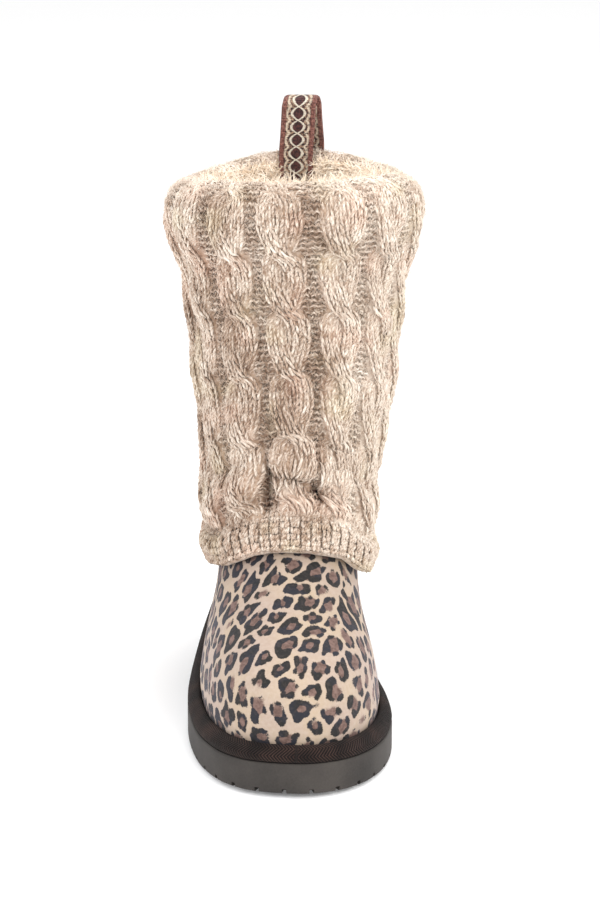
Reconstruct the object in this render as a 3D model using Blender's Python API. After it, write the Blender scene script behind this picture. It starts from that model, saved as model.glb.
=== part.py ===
"""Right mukluk boot: printed suede foot and shaft, cable-knit cuff, tape-wrapped midsole, rubber outsole.

Metres, +Z up, toe towards -Y, inner side of the foot towards +X. Every wall is lofted through closed rings,
which start at the toe (share 0), run along the inner side to the heel (share 0.5) and back along the outer side.
"""
import math

import bmesh
import bpy
import numpy as np

# Sole
SOLE_LENGTH = 0.282
BALL_WIDTH = 0.110
FOREFOOT_SOLE = 0.0165
HEEL_SOLE = 0.0225
TOE_SPRING = 0.0025
TOE_SPRING_SPAN = 0.24  # share of SOLE_LENGTH
HEEL_BEVEL = 0.0020
ARCH_RISE = 0.0020
ARCH_SPAN = (0.40, 0.64)  # shares of SOLE_LENGTH
SOLE_EDGE_ROUND = 0.0012
NOTCH_SPACING = 0.0144
NOTCH_WIDTH = 0.0024
NOTCH_DEPTH = 0.0026
NOTCH_REACH = 0.0065
GROOVE_WIDTH = 0.0032
GROOVE_DEPTH = 0.0026
GROOVE_SPACING = 0.0145
GROOVED = ((0.13, 0.40), (0.70, 0.89))  # shares of SOLE_LENGTH

# Tape-wrapped midsole
BAND_RISE = 0.0085
BAND_WIDTH = 0.0072
SEAT_DEPTH = 0.0020

# Upper
UPPER_WALL = 0.0025
INSTEP_RISE = 0.092
SHAFT_RISE = 0.169
ANKLE_WIDTH = 0.0820
COLLAR_WIDTH = 0.114
COLLAR_SIDE_DIP = 0.0080
COLLAR_TILT = 0.0030

# Footbed
INSOLE_THICKNESS = 0.007
INSOLE_CUP = 0.0015

# Knitted cuff
KNIT_WALL = 0.0055
KNIT_EASE = 0.0014
FOLD_WALL = 0.0045
FOLD_DEPTH = 0.010
CABLE_COUNT = 14
CABLE_RAISE = 0.0034
CABLE_REPEAT = 0.035
CABLE_TURN_DEGREES = 8.2
HEM_RIB = 0.026
ROLL_BULGE = 0.0062
ROLL_CROWN = 0.0074
ROLL_SPAN = (0.80, 0.96)  # shares of the way from the hem to the collar

# Pull loop
TAPE_WIDTH = 0.0190
TAPE_THICKNESS = 0.0020
LOOP_RISE = 0.0315
LOOP_GAP = 0.0080
LOOP_LEG_INSIDE = 0.0160
LOOP_LEG_OUTSIDE = 0.0240
LOOP_SET_BACK = 0.0052
LOOP_X_INSIDE = 0.0035
LOOP_X_OUTSIDE = 0.0100

# Clearance between neighbouring pieces
FIT_GAP = 0.0003

OUTSOLE_COLUMNS = 88
UPPER_COLUMNS = 44
CUFF_COLUMNS = 5 * CABLE_COUNT
GROUND = 0.0

# Sole outline seen from above. along: share of SOLE_LENGTH from the toe. across: share of BALL_WIDTH, + inner side.
OUTLINE = (
    # along, across
    (0.000, 0.036),
    (0.010, 0.172),
    (0.040, 0.295),
    (0.090, 0.394),
    (0.160, 0.464),
    (0.245, 0.494),
    (0.340, 0.477),
    (0.430, 0.438),
    (0.530, 0.394),
    (0.640, 0.368),
    (0.745, 0.359),
    (0.851, 0.340),
    (0.929, 0.276),
    (0.982, 0.150),
    (1.000, -0.027),
    (0.983, -0.200),
    (0.935, -0.330),
    (0.858, -0.398),
    (0.727, -0.437),
    (0.585, -0.473),
    (0.461, -0.498),
    (0.372, -0.506),
    (0.277, -0.494),
    (0.184, -0.453),
    (0.117, -0.394),
    (0.060, -0.309),
    (0.018, -0.175),
)
HEEL_ROW = 14

# Rings of the foot. along: shares of SOLE_LENGTH. rise: shares of INSTEP_RISE above the seat at the toe.
# width: share of BALL_WIDTH. outline: how far the ring keeps the sole's outline rather than an oval.
# widest: where the oval is widest, from its front (0) to its back (1).
FOOT_RINGS = (
    # front_along, front_rise, back_along, back_rise, width, outline, widest
    (0.0285, 0.200, 0.9800, 0.250, 0.834, 1.00, 0.42),
    (0.0500, 0.335, 0.9810, 0.365, 0.788, 0.95, 0.42),
    (0.1000, 0.440, 0.9770, 0.480, 0.744, 0.78, 0.42),
    (0.1850, 0.545, 0.9700, 0.590, 0.717, 0.48, 0.42),
    (0.2750, 0.665, 0.9610, 0.720, 0.703, 0.22, 0.42),
    (0.3480, 0.808, 0.9540, 0.870, 0.703, 0.06, 0.42),
)

# Rings of the shaft. rise: shares of SHAFT_RISE above the instep. flare: from ANKLE_WIDTH (0) to COLLAR_WIDTH (1).
# lean: share of ANKLE_WIDTH towards the inner side. point: how pointed the back is. dip: share of the collar's dip.
SHAFT_RINGS = (
    # front_along, front_rise, back_along, back_rise, flare, lean, point, dip, widest
    (0.3990, 0.000, 0.9470, 0.025, 0.00, 0.000, 1.00, 0.0, 0.42),
    (0.4250, 0.128, 0.9380, 0.150, 0.05, 0.013, 1.00, 0.0, 0.42),
    (0.4390, 0.275, 0.9255, 0.283, 0.25, 0.028, 1.03, 0.0, 0.42),
    (0.4430, 0.482, 0.9080, 0.472, 0.48, 0.036, 1.10, 0.0, 0.42),
    (0.4330, 0.735, 0.8860, 0.706, 0.70, 0.036, 1.18, 0.4, 0.42),
    (0.4110, 1.010, 0.8580, 0.976, 1.00, 0.038, 1.25, 1.0, 0.42),
)

# Height of the knitted hem. turn: share of the way round. rise: share of INSTEP_RISE above the seat at the toe.
HEM_LINE = (
    # turn, rise
    (0.000, 0.775),
    (0.050, 0.757),
    (0.100, 0.700),
    (0.150, 0.625),
    (0.200, 0.580),
    (0.250, 0.545),
    (0.375, 0.585),
    (0.500, 0.640),
    (0.625, 0.625),
    (0.750, 0.560),
    (0.800, 0.605),
    (0.850, 0.650),
    (0.900, 0.709),
    (0.950, 0.757),
)

# Sole edge outwards and upwards: inset and rise are shares of BAND_WIDTH and BAND_RISE.
BAND_SECTION = (
    # inset, rise
    (0.09, 0.00),
    (0.02, 0.22),
    (0.13, 0.52),
    (0.44, 0.83),
    (0.78, 1.00),
    (0.95, 0.93),
)


def smoothstep(low, high, value):
    """0 below low, 1 above high, and a smooth ramp between."""
    t = np.clip((np.asarray(value, float) - low) / (high - low), 0.0, 1.0)
    return t * t * (3.0 - 2.0 * t)


def spline(rows, at):
    """Catmull-Rom curve through rows (first axis), read at the positions in at, which count rows."""
    rows = np.asarray(rows, float)
    padded = np.concatenate([2 * rows[:1] - rows[1:2], rows, 2 * rows[-1:] - rows[-2:-1]])
    at = np.clip(np.asarray(at, float), 0.0, len(rows) - 1.0)
    low = np.minimum(at.astype(int), len(rows) - 2)
    t = (at - low).reshape((-1,) + (1,) * (rows.ndim - 1))
    p0, p1, p2, p3 = (padded[low + k] for k in range(4))
    return p1 + 0.5 * t * (p2 - p0 + t * (2 * p0 - 5 * p1 + 4 * p2 - p3 + t * (3 * (p1 - p2) + p3 - p0)))


def dense_outline():
    """The sole's outline as 720 points: even steps along the inner side, then along the outer side."""
    table = np.array(OUTLINE) * (SOLE_LENGTH, BALL_WIDTH)
    wrapped = np.concatenate([table[-2:], table, table[:3]])
    first = 2.0
    halves = []
    for start, end in ((first, first + HEEL_ROW), (first + HEEL_ROW, first + len(table))):
        fine = spline(wrapped, np.linspace(start, end, 2000))
        walked = np.concatenate([[0.0], np.cumsum(np.hypot(*np.diff(fine, axis=0).T))])
        even = np.linspace(0.0, walked[-1], 361)[:-1]
        halves.append(np.stack([np.interp(even, walked, fine[:, 0]), np.interp(even, walked, fine[:, 1])], 1))
    return np.concatenate(halves)


EDGE = dense_outline()


def around(values, share):
    """values, given at even shares of a closed way round, read at share."""
    values = np.asarray(values, float)
    count = len(values)
    at = (np.asarray(share, float) % 1.0) * count
    low = at.astype(int) % count
    t = (at - np.floor(at)).reshape((-1,) + (1,) * (values.ndim - 1))
    return values[low] * (1 - t) + values[(low + 1) % count] * t


def outline(share, inset=0.0):
    """Points (along, across) of the sole's outline, moved inwards by inset."""
    tangent = np.roll(EDGE, -1, 0) - np.roll(EDGE, 1, 0)
    tangent /= np.hypot(*tangent.T)[:, None]
    inward = np.stack([tangent[:, 1], -tangent[:, 0]], 1)
    return around(EDGE + inward * inset, share)


def ground_line(along):
    """Underside of the outsole: toe spring, a low arch, and a bevel at the back of the heel."""
    share = np.asarray(along, float) / SOLE_LENGTH
    toe = TOE_SPRING * np.clip(1.0 - share / TOE_SPRING_SPAN, 0.0, 1.0) ** 2
    start, end = ARCH_SPAN
    ramp = 0.3 * (end - start)
    arch = ARCH_RISE * smoothstep(start, start + ramp, share) * smoothstep(end, end - ramp, share)
    heel = HEEL_BEVEL * np.clip((share - 0.93) / 0.07, 0.0, 1.0) ** 2
    return GROUND + toe + arch + heel


def sole_top(along):
    """Upper face of the outsole, thicker under the heel and lifted a little at the toe."""
    share = np.asarray(along, float) / SOLE_LENGTH
    toe = TOE_SPRING * np.clip(1.0 - share / TOE_SPRING_SPAN, 0.0, 1.0) ** 2
    return GROUND + toe + FOREFOOT_SOLE + (HEEL_SOLE - FOREFOOT_SOLE) * smoothstep(0.36, 0.78, share)


def seat(along):
    """Recessed top of the midsole, which carries the upper and the footbed."""
    return sole_top(along) + FIT_GAP + BAND_RISE - SEAT_DEPTH


def ring(share, inset, height):
    """Ring at an inset from the sole's outline, with height a function of the distance along the sole."""
    flat = outline(share, inset)
    return np.stack([flat[:, 1], flat[:, 0] - SOLE_LENGTH / 2, height(flat[:, 0])], 1)


def oval(share, widest, point):
    """Shape of a shaft ring: (along 0 to 1, across -1 to 1)."""
    angle = 2 * math.pi * np.asarray(share, float)
    ahead = np.cos(angle) >= 0
    along = widest - np.where(ahead, widest, 1 - widest) * np.cos(angle)
    across = np.sin(angle)
    return along, np.sign(across) * np.abs(across) ** np.where(ahead, 1.0, point)


def foot_ring(share, row):
    front_along, front_rise, back_along, back_rise, width, keeps_outline, widest = row
    edge = outline(share) / (SOLE_LENGTH, BALL_WIDTH / 2)
    along, across = oval(share, widest, 1.0)
    along = along + (edge[:, 0] - along) * keeps_outline
    across = across + (edge[:, 1] - across) * keeps_outline
    base = float(seat(0.0))
    y = (front_along + (back_along - front_along) * along - 0.5) * SOLE_LENGTH
    z = base + INSTEP_RISE * (front_rise + (back_rise - front_rise) * along)
    return np.stack([across * width * BALL_WIDTH / 2, y, z], 1)


def shaft_ring(share, row):
    front_along, front_rise, back_along, back_rise, flare, lean, point, dip, widest = row
    along, across = oval(share, widest, point)
    base = float(seat(0.0)) + INSTEP_RISE
    half = (ANKLE_WIDTH + (COLLAR_WIDTH - ANKLE_WIDTH) * flare) / 2
    y = (front_along + (back_along - front_along) * along - 0.5) * SOLE_LENGTH
    z = base + SHAFT_RISE * (front_rise + (back_rise - front_rise) * along)
    z = z + dip * (COLLAR_TILT * across - COLLAR_SIDE_DIP * across**2)
    return np.stack([across * half + lean * ANKLE_WIDTH, y, z], 1)


def upper_rows(share):
    """The rings that the upper's outer face runs through, from the sole to the collar."""
    inner_edge = BAND_WIDTH + FIT_GAP
    rows = [
        ring(share, inner_edge, lambda s: seat(s) + FIT_GAP),
        ring(share, inner_edge, lambda s: seat(s) + SEAT_DEPTH + 3 * FIT_GAP),
        ring(share, inner_edge - 2 * FIT_GAP, lambda s: seat(s) + 0.09 * INSTEP_RISE),
    ]
    rows += [foot_ring(share, row) for row in FOOT_RINGS]
    rows += [shaft_ring(share, row) for row in SHAFT_RINGS]
    return np.array(rows)


LOW_ROWS = 3
TOP_ROW = LOW_ROWS + len(FOOT_RINGS) + len(SHAFT_RINGS) - 1


def upper_surface(share, level, offset=0.0):
    """Points of the upper's outer face at shares of the way round and at a level (counted in rings, one for
    each share or one for all), moved outwards by offset along the surface's normal."""
    share = np.asarray(share, float)
    level = np.broadcast_to(np.asarray(level, float), share.shape)
    step = 1e-3

    def point(s, t):
        rows = upper_rows(s)
        return np.array([spline(rows[:, i], [t[i]])[0] for i in range(len(s))])

    here = point(share, level)
    along = point(share + step, level) - point(share - step, level)
    up = point(share, np.minimum(level + step, TOP_ROW)) - point(share, np.maximum(level - step, 0.0))
    normal = np.cross(along, up)
    normal /= np.linalg.norm(normal, axis=1)[:, None]
    return here + normal * np.asarray(offset, float).reshape(-1, 1)


def level_at_height(share, height):
    """The level at which each column of the upper reaches a height."""
    levels = np.linspace(LOW_ROWS, TOP_ROW, 241)
    rows = upper_rows(share)
    found = []
    for i, wanted in enumerate(np.broadcast_to(height, share.shape)):
        found.append(np.interp(wanted, spline(rows[:, i, 2], levels), levels))
    return np.array(found)


def columns(count):
    return np.arange(count) / count


def new_object(name, mesh, material, parent):
    made = bpy.data.objects.new(name, mesh)
    made.data.materials.append(material)
    made.parent = parent
    bpy.context.scene.collection.objects.link(made)
    return made


def finish_mesh(name, bm, sharp_degrees=45):
    bmesh.ops.recalc_face_normals(bm, faces=bm.faces)
    mesh = bpy.data.meshes.new(name)
    bm.to_mesh(mesh)
    bm.free()
    mesh.shade_smooth()
    mesh.set_sharp_from_angle(angle=math.radians(sharp_degrees))
    return mesh


def bridge(bm, lower, upper):
    """A band of faces between two closed rings of vertices."""
    count = len(lower)
    for i in range(count):
        j = (i + 1) % count
        bm.faces.new((lower[i], lower[j], upper[j], upper[i]))


def ladder_cap(bm, loop):
    """Closes a ring with rungs from its inner side to its outer side, so that it stays true along the sole."""
    count = len(loop)
    half = count // 2
    bm.faces.new((loop[0], loop[1], loop[-1]))
    for i in range(1, half - 1):
        bm.faces.new((loop[i], loop[i + 1], loop[count - i - 1], loop[count - i]))
    bm.faces.new((loop[half - 1], loop[half], loop[half + 1]))


def slab_mesh(name, rings):
    """A solid between a bottom ring and a top ring, through the rings of its side."""
    bm = bmesh.new()
    loops = [[bm.verts.new(p) for p in points] for points in rings]
    for lower, upper in zip(loops, loops[1:]):
        bridge(bm, lower, upper)
    ladder_cap(bm, loops[0])
    ladder_cap(bm, loops[-1])
    return finish_mesh(name, bm)


def wall_mesh(name, rings):
    """A hollow wall, closed on itself: the last ring joins the first."""
    bm = bmesh.new()
    loops = [[bm.verts.new(p) for p in points] for points in rings]
    for lower, upper in zip(loops, loops[1:] + loops[:1]):
        bridge(bm, lower, upper)
    return finish_mesh(name, bm, 60)


def add_box(bm, centre, ahead, length, width, low, high):
    """A box in plan along ahead, from height low to high."""
    side = np.array([-ahead[1], ahead[0]])
    corners = []
    for z in (low, high):
        for a, b in ((-1, -1), (1, -1), (1, 1), (-1, 1)):
            spot = centre + ahead * a * length / 2 + side * b * width / 2
            corners.append(bm.verts.new((spot[0], spot[1], z)))
    bottom, top = corners[:4], corners[4:]
    bm.faces.new(bottom[::-1])
    bm.faces.new(top)
    for i in range(4):
        j = (i + 1) % 4
        bm.faces.new((bottom[i], bottom[j], top[j], top[i]))


def tread_cutter(parent):
    """One mesh of all the notches round the sole's edge and the grooves under the forefoot and the heel."""
    bm = bmesh.new()
    below = GROUND - NOTCH_DEPTH
    walked = np.hypot(*np.diff(np.concatenate([EDGE, EDGE[:1]]), axis=0).T).sum()
    notches = round(walked / NOTCH_SPACING)
    for i in range(notches):
        share = np.array([(i + 0.5) / notches])
        edge, within = outline(share)[0], outline(share, NOTCH_REACH)[0]
        ahead = np.array([within[1] - edge[1], within[0] - edge[0]]) / NOTCH_REACH
        centre = np.array([edge[1], edge[0] - SOLE_LENGTH / 2])
        high = float(ground_line(edge[0])) + NOTCH_DEPTH
        add_box(bm, centre, ahead, 2 * NOTCH_REACH, NOTCH_WIDTH, below, high)
    for first, last in GROOVED:
        count = int((last - first) * SOLE_LENGTH / GROOVE_SPACING) + 1
        for k in range(count):
            along = first * SOLE_LENGTH + k * GROOVE_SPACING
            near = outline(columns(360), NOTCH_REACH + GROOVE_WIDTH)
            inner = np.interp(along, near[:180, 0], near[:180, 1])
            outer = np.interp(along, near[:180:-1, 0], near[:180:-1, 1])
            centre = np.array([(inner + outer) / 2, along - SOLE_LENGTH / 2])
            high = float(ground_line(along)) + GROOVE_DEPTH
            add_box(bm, centre, np.array([1.0, 0.0]), inner - outer, GROOVE_WIDTH, below, high)
    cutter = new_object("tread_cutter", finish_mesh("tread_cutter", bm), plain_material("cutter", (1, 1, 1), 1), parent)
    cutter.hide_render = True
    cutter.display_type = "WIRE"
    return cutter


def plain_material(name, colour, roughness):
    material = bpy.data.materials.new(name)
    material.use_nodes = True
    shader = material.node_tree.nodes["Principled BSDF"]
    shader.inputs["Base Color"].default_value = (*colour, 1.0)
    shader.inputs["Roughness"].default_value = roughness
    shader.inputs["Metallic"].default_value = 0.0
    return material


def outsole(parent):
    share = columns(OUTSOLE_COLUMNS)
    rings = [
        ring(share, SOLE_EDGE_ROUND, ground_line),
        ring(share, 0.3 * SOLE_EDGE_ROUND, lambda s: ground_line(s) + 0.4 * SOLE_EDGE_ROUND),
        ring(share, 0.0, lambda s: ground_line(s) + 1.6 * SOLE_EDGE_ROUND),
        ring(share, 0.0, lambda s: sole_top(s) - SOLE_EDGE_ROUND),
        ring(share, 0.5 * SOLE_EDGE_ROUND, sole_top),
    ]
    rubber = plain_material("rubber", (0.13, 0.12, 0.11), 0.7)
    made = new_object("outsole", slab_mesh("outsole", rings), rubber, parent)
    tread = made.modifiers.new("tread", "BOOLEAN")
    tread.operation = "DIFFERENCE"
    tread.solver = "EXACT"
    tread.object = tread_cutter(parent)
    return made


def midsole(parent):
    share = columns(OUTSOLE_COLUMNS)
    rings = []
    for inset, rise in BAND_SECTION:
        rings.append(ring(share, inset * BAND_WIDTH, lambda s, r=rise: sole_top(s) + FIT_GAP + r * BAND_RISE))
    rings.append(ring(share, BAND_WIDTH, seat))
    tape = plain_material("brown_tape", (0.075, 0.045, 0.035), 0.85)
    return new_object("midsole", slab_mesh("midsole", rings), tape, parent)


def upper(parent):
    share = columns(UPPER_COLUMNS)
    levels = [0, 1, 2, 3, 4, 4.5, 5, 5.5, 6, 7, 8, 9, 10, 11, 12, 13, TOP_ROW]
    outer = [upper_surface(share, t) for t in levels]
    inner = [upper_surface(share, t, -UPPER_WALL) for t in levels]
    inner[0][:, 2] = outer[0][:, 2]
    suede = plain_material("printed_suede", (0.55, 0.40, 0.28), 0.9)
    return new_object("upper", wall_mesh("upper", outer + inner[::-1]), suede, parent)


def insole(parent):
    share = columns(UPPER_COLUMNS)
    clear = BAND_WIDTH + UPPER_WALL + 4 * FIT_GAP
    rings = [
        ring(share, clear, lambda s: seat(s) + FIT_GAP),
        ring(share, clear, lambda s: seat(s) + FIT_GAP + INSOLE_THICKNESS - INSOLE_CUP / 2),
        ring(share, clear + INSOLE_CUP, lambda s: seat(s) + FIT_GAP + INSOLE_THICKNESS),
        ring(share, clear + 8 * INSOLE_CUP, lambda s: seat(s) + FIT_GAP + INSOLE_THICKNESS - INSOLE_CUP),
    ]
    pile = plain_material("cream_pile", (0.78, 0.70, 0.58), 0.95)
    return new_object("insole", slab_mesh("insole", rings), pile, parent)


def hem_height(share):
    """The knitted hem's height, which is highest where it rides up over the instep."""
    turns = np.array([row[0] for row in HEM_LINE] + [1.0])
    rises = np.array([row[1] for row in HEM_LINE] + [HEM_LINE[0][1]])
    return float(seat(0.0)) + INSTEP_RISE * np.interp(share, turns, rises)


def cable_relief(share, down):
    """Height of the cables over the ground of the knit: 14 ropes of lobes, flat in the ribbed hem.
    down: distance of each point below the collar."""
    across = (share + CABLE_TURN_DEGREES / 360) * CABLE_COUNT
    across = np.abs(across - np.round(across))
    turn = 2 * math.pi * down / CABLE_REPEAT
    width = 0.36 + 0.06 * np.cos(turn)
    ridge = smoothstep(0.5, width - 0.12, across)
    return CABLE_RAISE * ridge * (0.86 - 0.14 * np.cos(turn))


def cuff_rings():
    """The knitted sleeve's section, all the way round: up its hidden side, over the collar, down inside,
    back up the turned-in face, over the roll and down its outer face to the hem."""
    share = columns(CUFF_COLUMNS)
    hem = level_at_height(share, hem_height(share))
    top = np.full(share.shape, float(TOP_ROW))
    collar = upper_surface(share, TOP_ROW)
    inside = upper_surface(share, TOP_ROW, -UPPER_WALL)
    hidden = KNIT_EASE + 0 * share
    rings = []
    for climb in (0.015, 0.1, 0.2, 0.34, 0.5, 0.66, 0.83, 1.0):
        rings.append(upper_surface(share, hem + (top - hem) * climb, hidden))
    lift = np.array([0.0, 0.0, 1.0])
    rings.append(collar + lift * KNIT_EASE)
    rings.append(inside + lift * KNIT_EASE)
    fold_level = level_at_height(share, collar[:, 2] - FOLD_DEPTH)
    rings.append(upper_surface(share, TOP_ROW, -UPPER_WALL - KNIT_EASE))
    rings.append(upper_surface(share, fold_level, -UPPER_WALL - KNIT_EASE))
    inward = UPPER_WALL + KNIT_EASE + FOLD_WALL
    rings.append(upper_surface(share, fold_level, -inward))
    rings.append(upper_surface(share, TOP_ROW, -inward))
    outward = KNIT_EASE + KNIT_WALL
    crown = KNIT_EASE + ROLL_CROWN
    for turn, reach in ((0.25, 0.80), (0.50, 1.0), (0.75, 0.86)):
        spread = -inward + (inward + outward + ROLL_BULGE) * turn
        rings.append(upper_surface(share, TOP_ROW, spread) + lift * crown * reach)
    length = (collar[:, 2] - hem_height(share)).mean()
    climbs = np.concatenate([[1.0, 0.955, 0.90], np.linspace(0.85, HEM_RIB / length, 13), [0.06, 0.0]])
    for climb in climbs:
        level = hem + (top - hem) * climb
        down = (1 - climb) * length
        bulge = ROLL_BULGE * smoothstep(*ROLL_SPAN, climb)
        ribbed = smoothstep(0.6 * HEM_RIB / length, 1.15 * HEM_RIB / length, climb)
        relief = cable_relief(share, down) * ribbed + 0.35 * CABLE_RAISE * (1 - ribbed)
        relief = relief * smoothstep(1.02, 0.93, climb)
        body = outward * (0.62 + 0.38 * smoothstep(0.0, 0.07, climb))
        rings.append(upper_surface(share, level, body + bulge + relief))
    return rings


def knit_cuff(parent):
    yarn = plain_material("marled_yarn", (0.62, 0.53, 0.43), 0.95)
    return new_object("knit_cuff", wall_mesh("knit_cuff", cuff_rings()), yarn, parent)


def loop_path(inner_x, outer_x):
    """One thread of the tape as (x, y, z) rows: up the inside of the collar, over the loop and down the outside."""
    share = np.linspace(0.42, 0.58, 33)
    collar = upper_surface(share, TOP_ROW)
    rim = collar[16]
    crest = rim[2] + KNIT_EASE + ROLL_CROWN
    half = TAPE_THICKNESS / 2
    inner_stand = UPPER_WALL + KNIT_EASE + FOLD_WALL + half + 2 * FIT_GAP
    outer_stand = KNIT_EASE + KNIT_WALL + ROLL_BULGE + half + 2 * FIT_GAP

    def beside(x, down, stand):
        wall = upper_surface(share, level_at_height(share, rim[2] - down), stand)
        order = np.argsort(wall[:, 0])
        return np.array([x, *(np.interp(x, wall[order, 0], wall[order, i]) for i in (1, 2))])

    inner_top = beside(inner_x, 0.0, -inner_stand)
    outer_top = beside(outer_x, 0.0, outer_stand + 0.5 * CABLE_RAISE)
    middle = rim[1] - inner_stand + LOOP_SET_BACK
    bow = (LOOP_GAP + TAPE_THICKNESS) / 2
    top = crest + LOOP_RISE - half
    over = [
        (0.10, (inner_top[1] + middle - bow) / 2, crest + 0.28 * LOOP_RISE),
        (0.20, middle - 1.05 * bow, crest + 0.62 * LOOP_RISE),
    ]
    for turn in (0.0, 0.25, 0.5, 0.75, 1.0):
        angle = math.pi * (1 - turn)
        over.append((0.25 + 0.5 * turn, middle + bow * math.cos(angle), top - bow * (1 - math.sin(angle))))
    over += [
        (0.80, middle + 1.15 * bow, crest + 0.62 * LOOP_RISE),
        (0.90, (outer_top[1] + middle + bow) / 2, crest + 0.34 * LOOP_RISE),
        (1.00, outer_top[1] - 2 * FIT_GAP, crest + 0.06 * LOOP_RISE),
    ]
    points = [beside(inner_x, down * LOOP_LEG_INSIDE, -inner_stand) for down in (1.0, 0.5)]
    points += [inner_top, (inner_x, inner_top[1] - FIT_GAP, crest)]
    points += [(inner_x + (outer_x - inner_x) * turn, y, z) for turn, y, z in over]
    points += [outer_top]
    points += [beside(outer_x, down * LOOP_LEG_OUTSIDE, outer_stand + CABLE_RAISE) for down in (0.5, 1.0)]
    return np.array([tuple(point) for point in points])


def pull_loop(parent):
    """A tape whose legs follow the collar's curve and which lies flat across at the top of the loop."""
    threads = []
    for across in (-1, -0.5, 0, 0.5, 1):
        shift = across * TAPE_WIDTH / 2
        points = loop_path(LOOP_X_INSIDE + shift, LOOP_X_OUTSIDE + shift)
        ahead = np.gradient(points[:, 1:], axis=0)
        ahead /= np.hypot(*ahead.T)[:, None]
        out = np.stack([0 * points[:, 0], -ahead[:, 1], ahead[:, 0]], 1) * TAPE_THICKNESS / 2
        threads.append((points - out, points + out))
    bm = bmesh.new()
    sections = []
    for k in range(len(threads[0][0])):
        under = [bm.verts.new(thread[0][k]) for thread in threads]
        over = [bm.verts.new(thread[1][k]) for thread in threads]
        sections.append(under + over[::-1])
    for lower, upper_section in zip(sections, sections[1:]):
        bridge(bm, lower, upper_section)
    for end in (sections[0], sections[-1]):
        for i in range(4):
            bm.faces.new((end[i], end[i + 1], end[8 - i], end[9 - i]))
    tape = plain_material("woven_tape", (0.23, 0.12, 0.09), 0.85)
    return new_object("pull_loop", finish_mesh("pull_loop", bm), tape, parent)


def centre_on_ground(datum, pieces):
    """Puts the origin on the ground under the middle of the boot's box."""
    corners = np.concatenate([[v.co[:] for v in piece.data.vertices] for piece in pieces])
    middle = (corners.min(0) + corners.max(0)) / 2
    datum.location = (-middle[0], -middle[1], -GROUND)


def main():
    for old in list(bpy.data.objects):
        bpy.data.objects.remove(old)
    datum = bpy.data.objects.new("boot_datum", None)
    bpy.context.scene.collection.objects.link(datum)
    pieces = [build(datum) for build in (outsole, midsole, upper, insole, knit_cuff, pull_loop)]
    centre_on_ground(datum, pieces)


main()
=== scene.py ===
# %% [markdown]
# # A right mukluk boot
# The boot has a foot of printed suede, a chunky cable-knit sleeve drawn over its shaft, a midsole wrapped in
# woven tape, a rubber outsole and a pull loop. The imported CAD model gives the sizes, and this lesson dresses it.

import math

import bpy
import numpy as np
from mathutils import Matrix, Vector, kdtree


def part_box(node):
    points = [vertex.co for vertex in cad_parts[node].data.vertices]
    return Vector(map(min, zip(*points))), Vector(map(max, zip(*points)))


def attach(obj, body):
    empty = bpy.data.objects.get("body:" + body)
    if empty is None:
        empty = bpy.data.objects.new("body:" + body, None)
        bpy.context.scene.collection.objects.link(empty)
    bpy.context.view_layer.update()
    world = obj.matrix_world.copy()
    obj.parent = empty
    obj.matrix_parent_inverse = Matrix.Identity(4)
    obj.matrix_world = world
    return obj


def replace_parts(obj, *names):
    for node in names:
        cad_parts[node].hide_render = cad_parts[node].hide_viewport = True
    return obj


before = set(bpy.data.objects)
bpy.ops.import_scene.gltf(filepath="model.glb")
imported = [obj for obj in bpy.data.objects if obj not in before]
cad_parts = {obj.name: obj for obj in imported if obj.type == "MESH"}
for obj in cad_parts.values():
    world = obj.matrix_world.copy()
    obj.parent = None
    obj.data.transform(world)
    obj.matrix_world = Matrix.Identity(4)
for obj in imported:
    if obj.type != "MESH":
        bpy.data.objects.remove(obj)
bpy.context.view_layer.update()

# %% [markdown]
# Shader maths reads best as sums. `Shade` wraps one socket, so that `a * 2 + b` adds Math nodes, and `Finish`
# is a material to which nodes are added by type, with their settings first and then the values of their sockets.


# %% Shader arithmetic
class Shade:
    def __init__(self, finish, socket):
        self.finish = finish
        self.socket = socket

    def math(self, operation, *others):
        return self.finish.add("ShaderNodeMath", {"operation": operation}, self, *others)

    def __add__(self, other):
        return self.math("ADD", other)

    def __sub__(self, other):
        return self.math("SUBTRACT", other)

    def __rsub__(self, other):
        return self.finish.add("ShaderNodeMath", {"operation": "SUBTRACT"}, other, self)

    def __mul__(self, other):
        return self.math("MULTIPLY", other)

    def clamp(self):
        return self.finish.add("ShaderNodeClamp", {}, self)

    def step(self, low, high):
        """0 below low, 1 above high, smooth between."""
        span = {"interpolation_type": "SMOOTHSTEP"}
        return self.finish.add("ShaderNodeMapRange", span, self, low, high, 0.0, 1.0)


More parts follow.
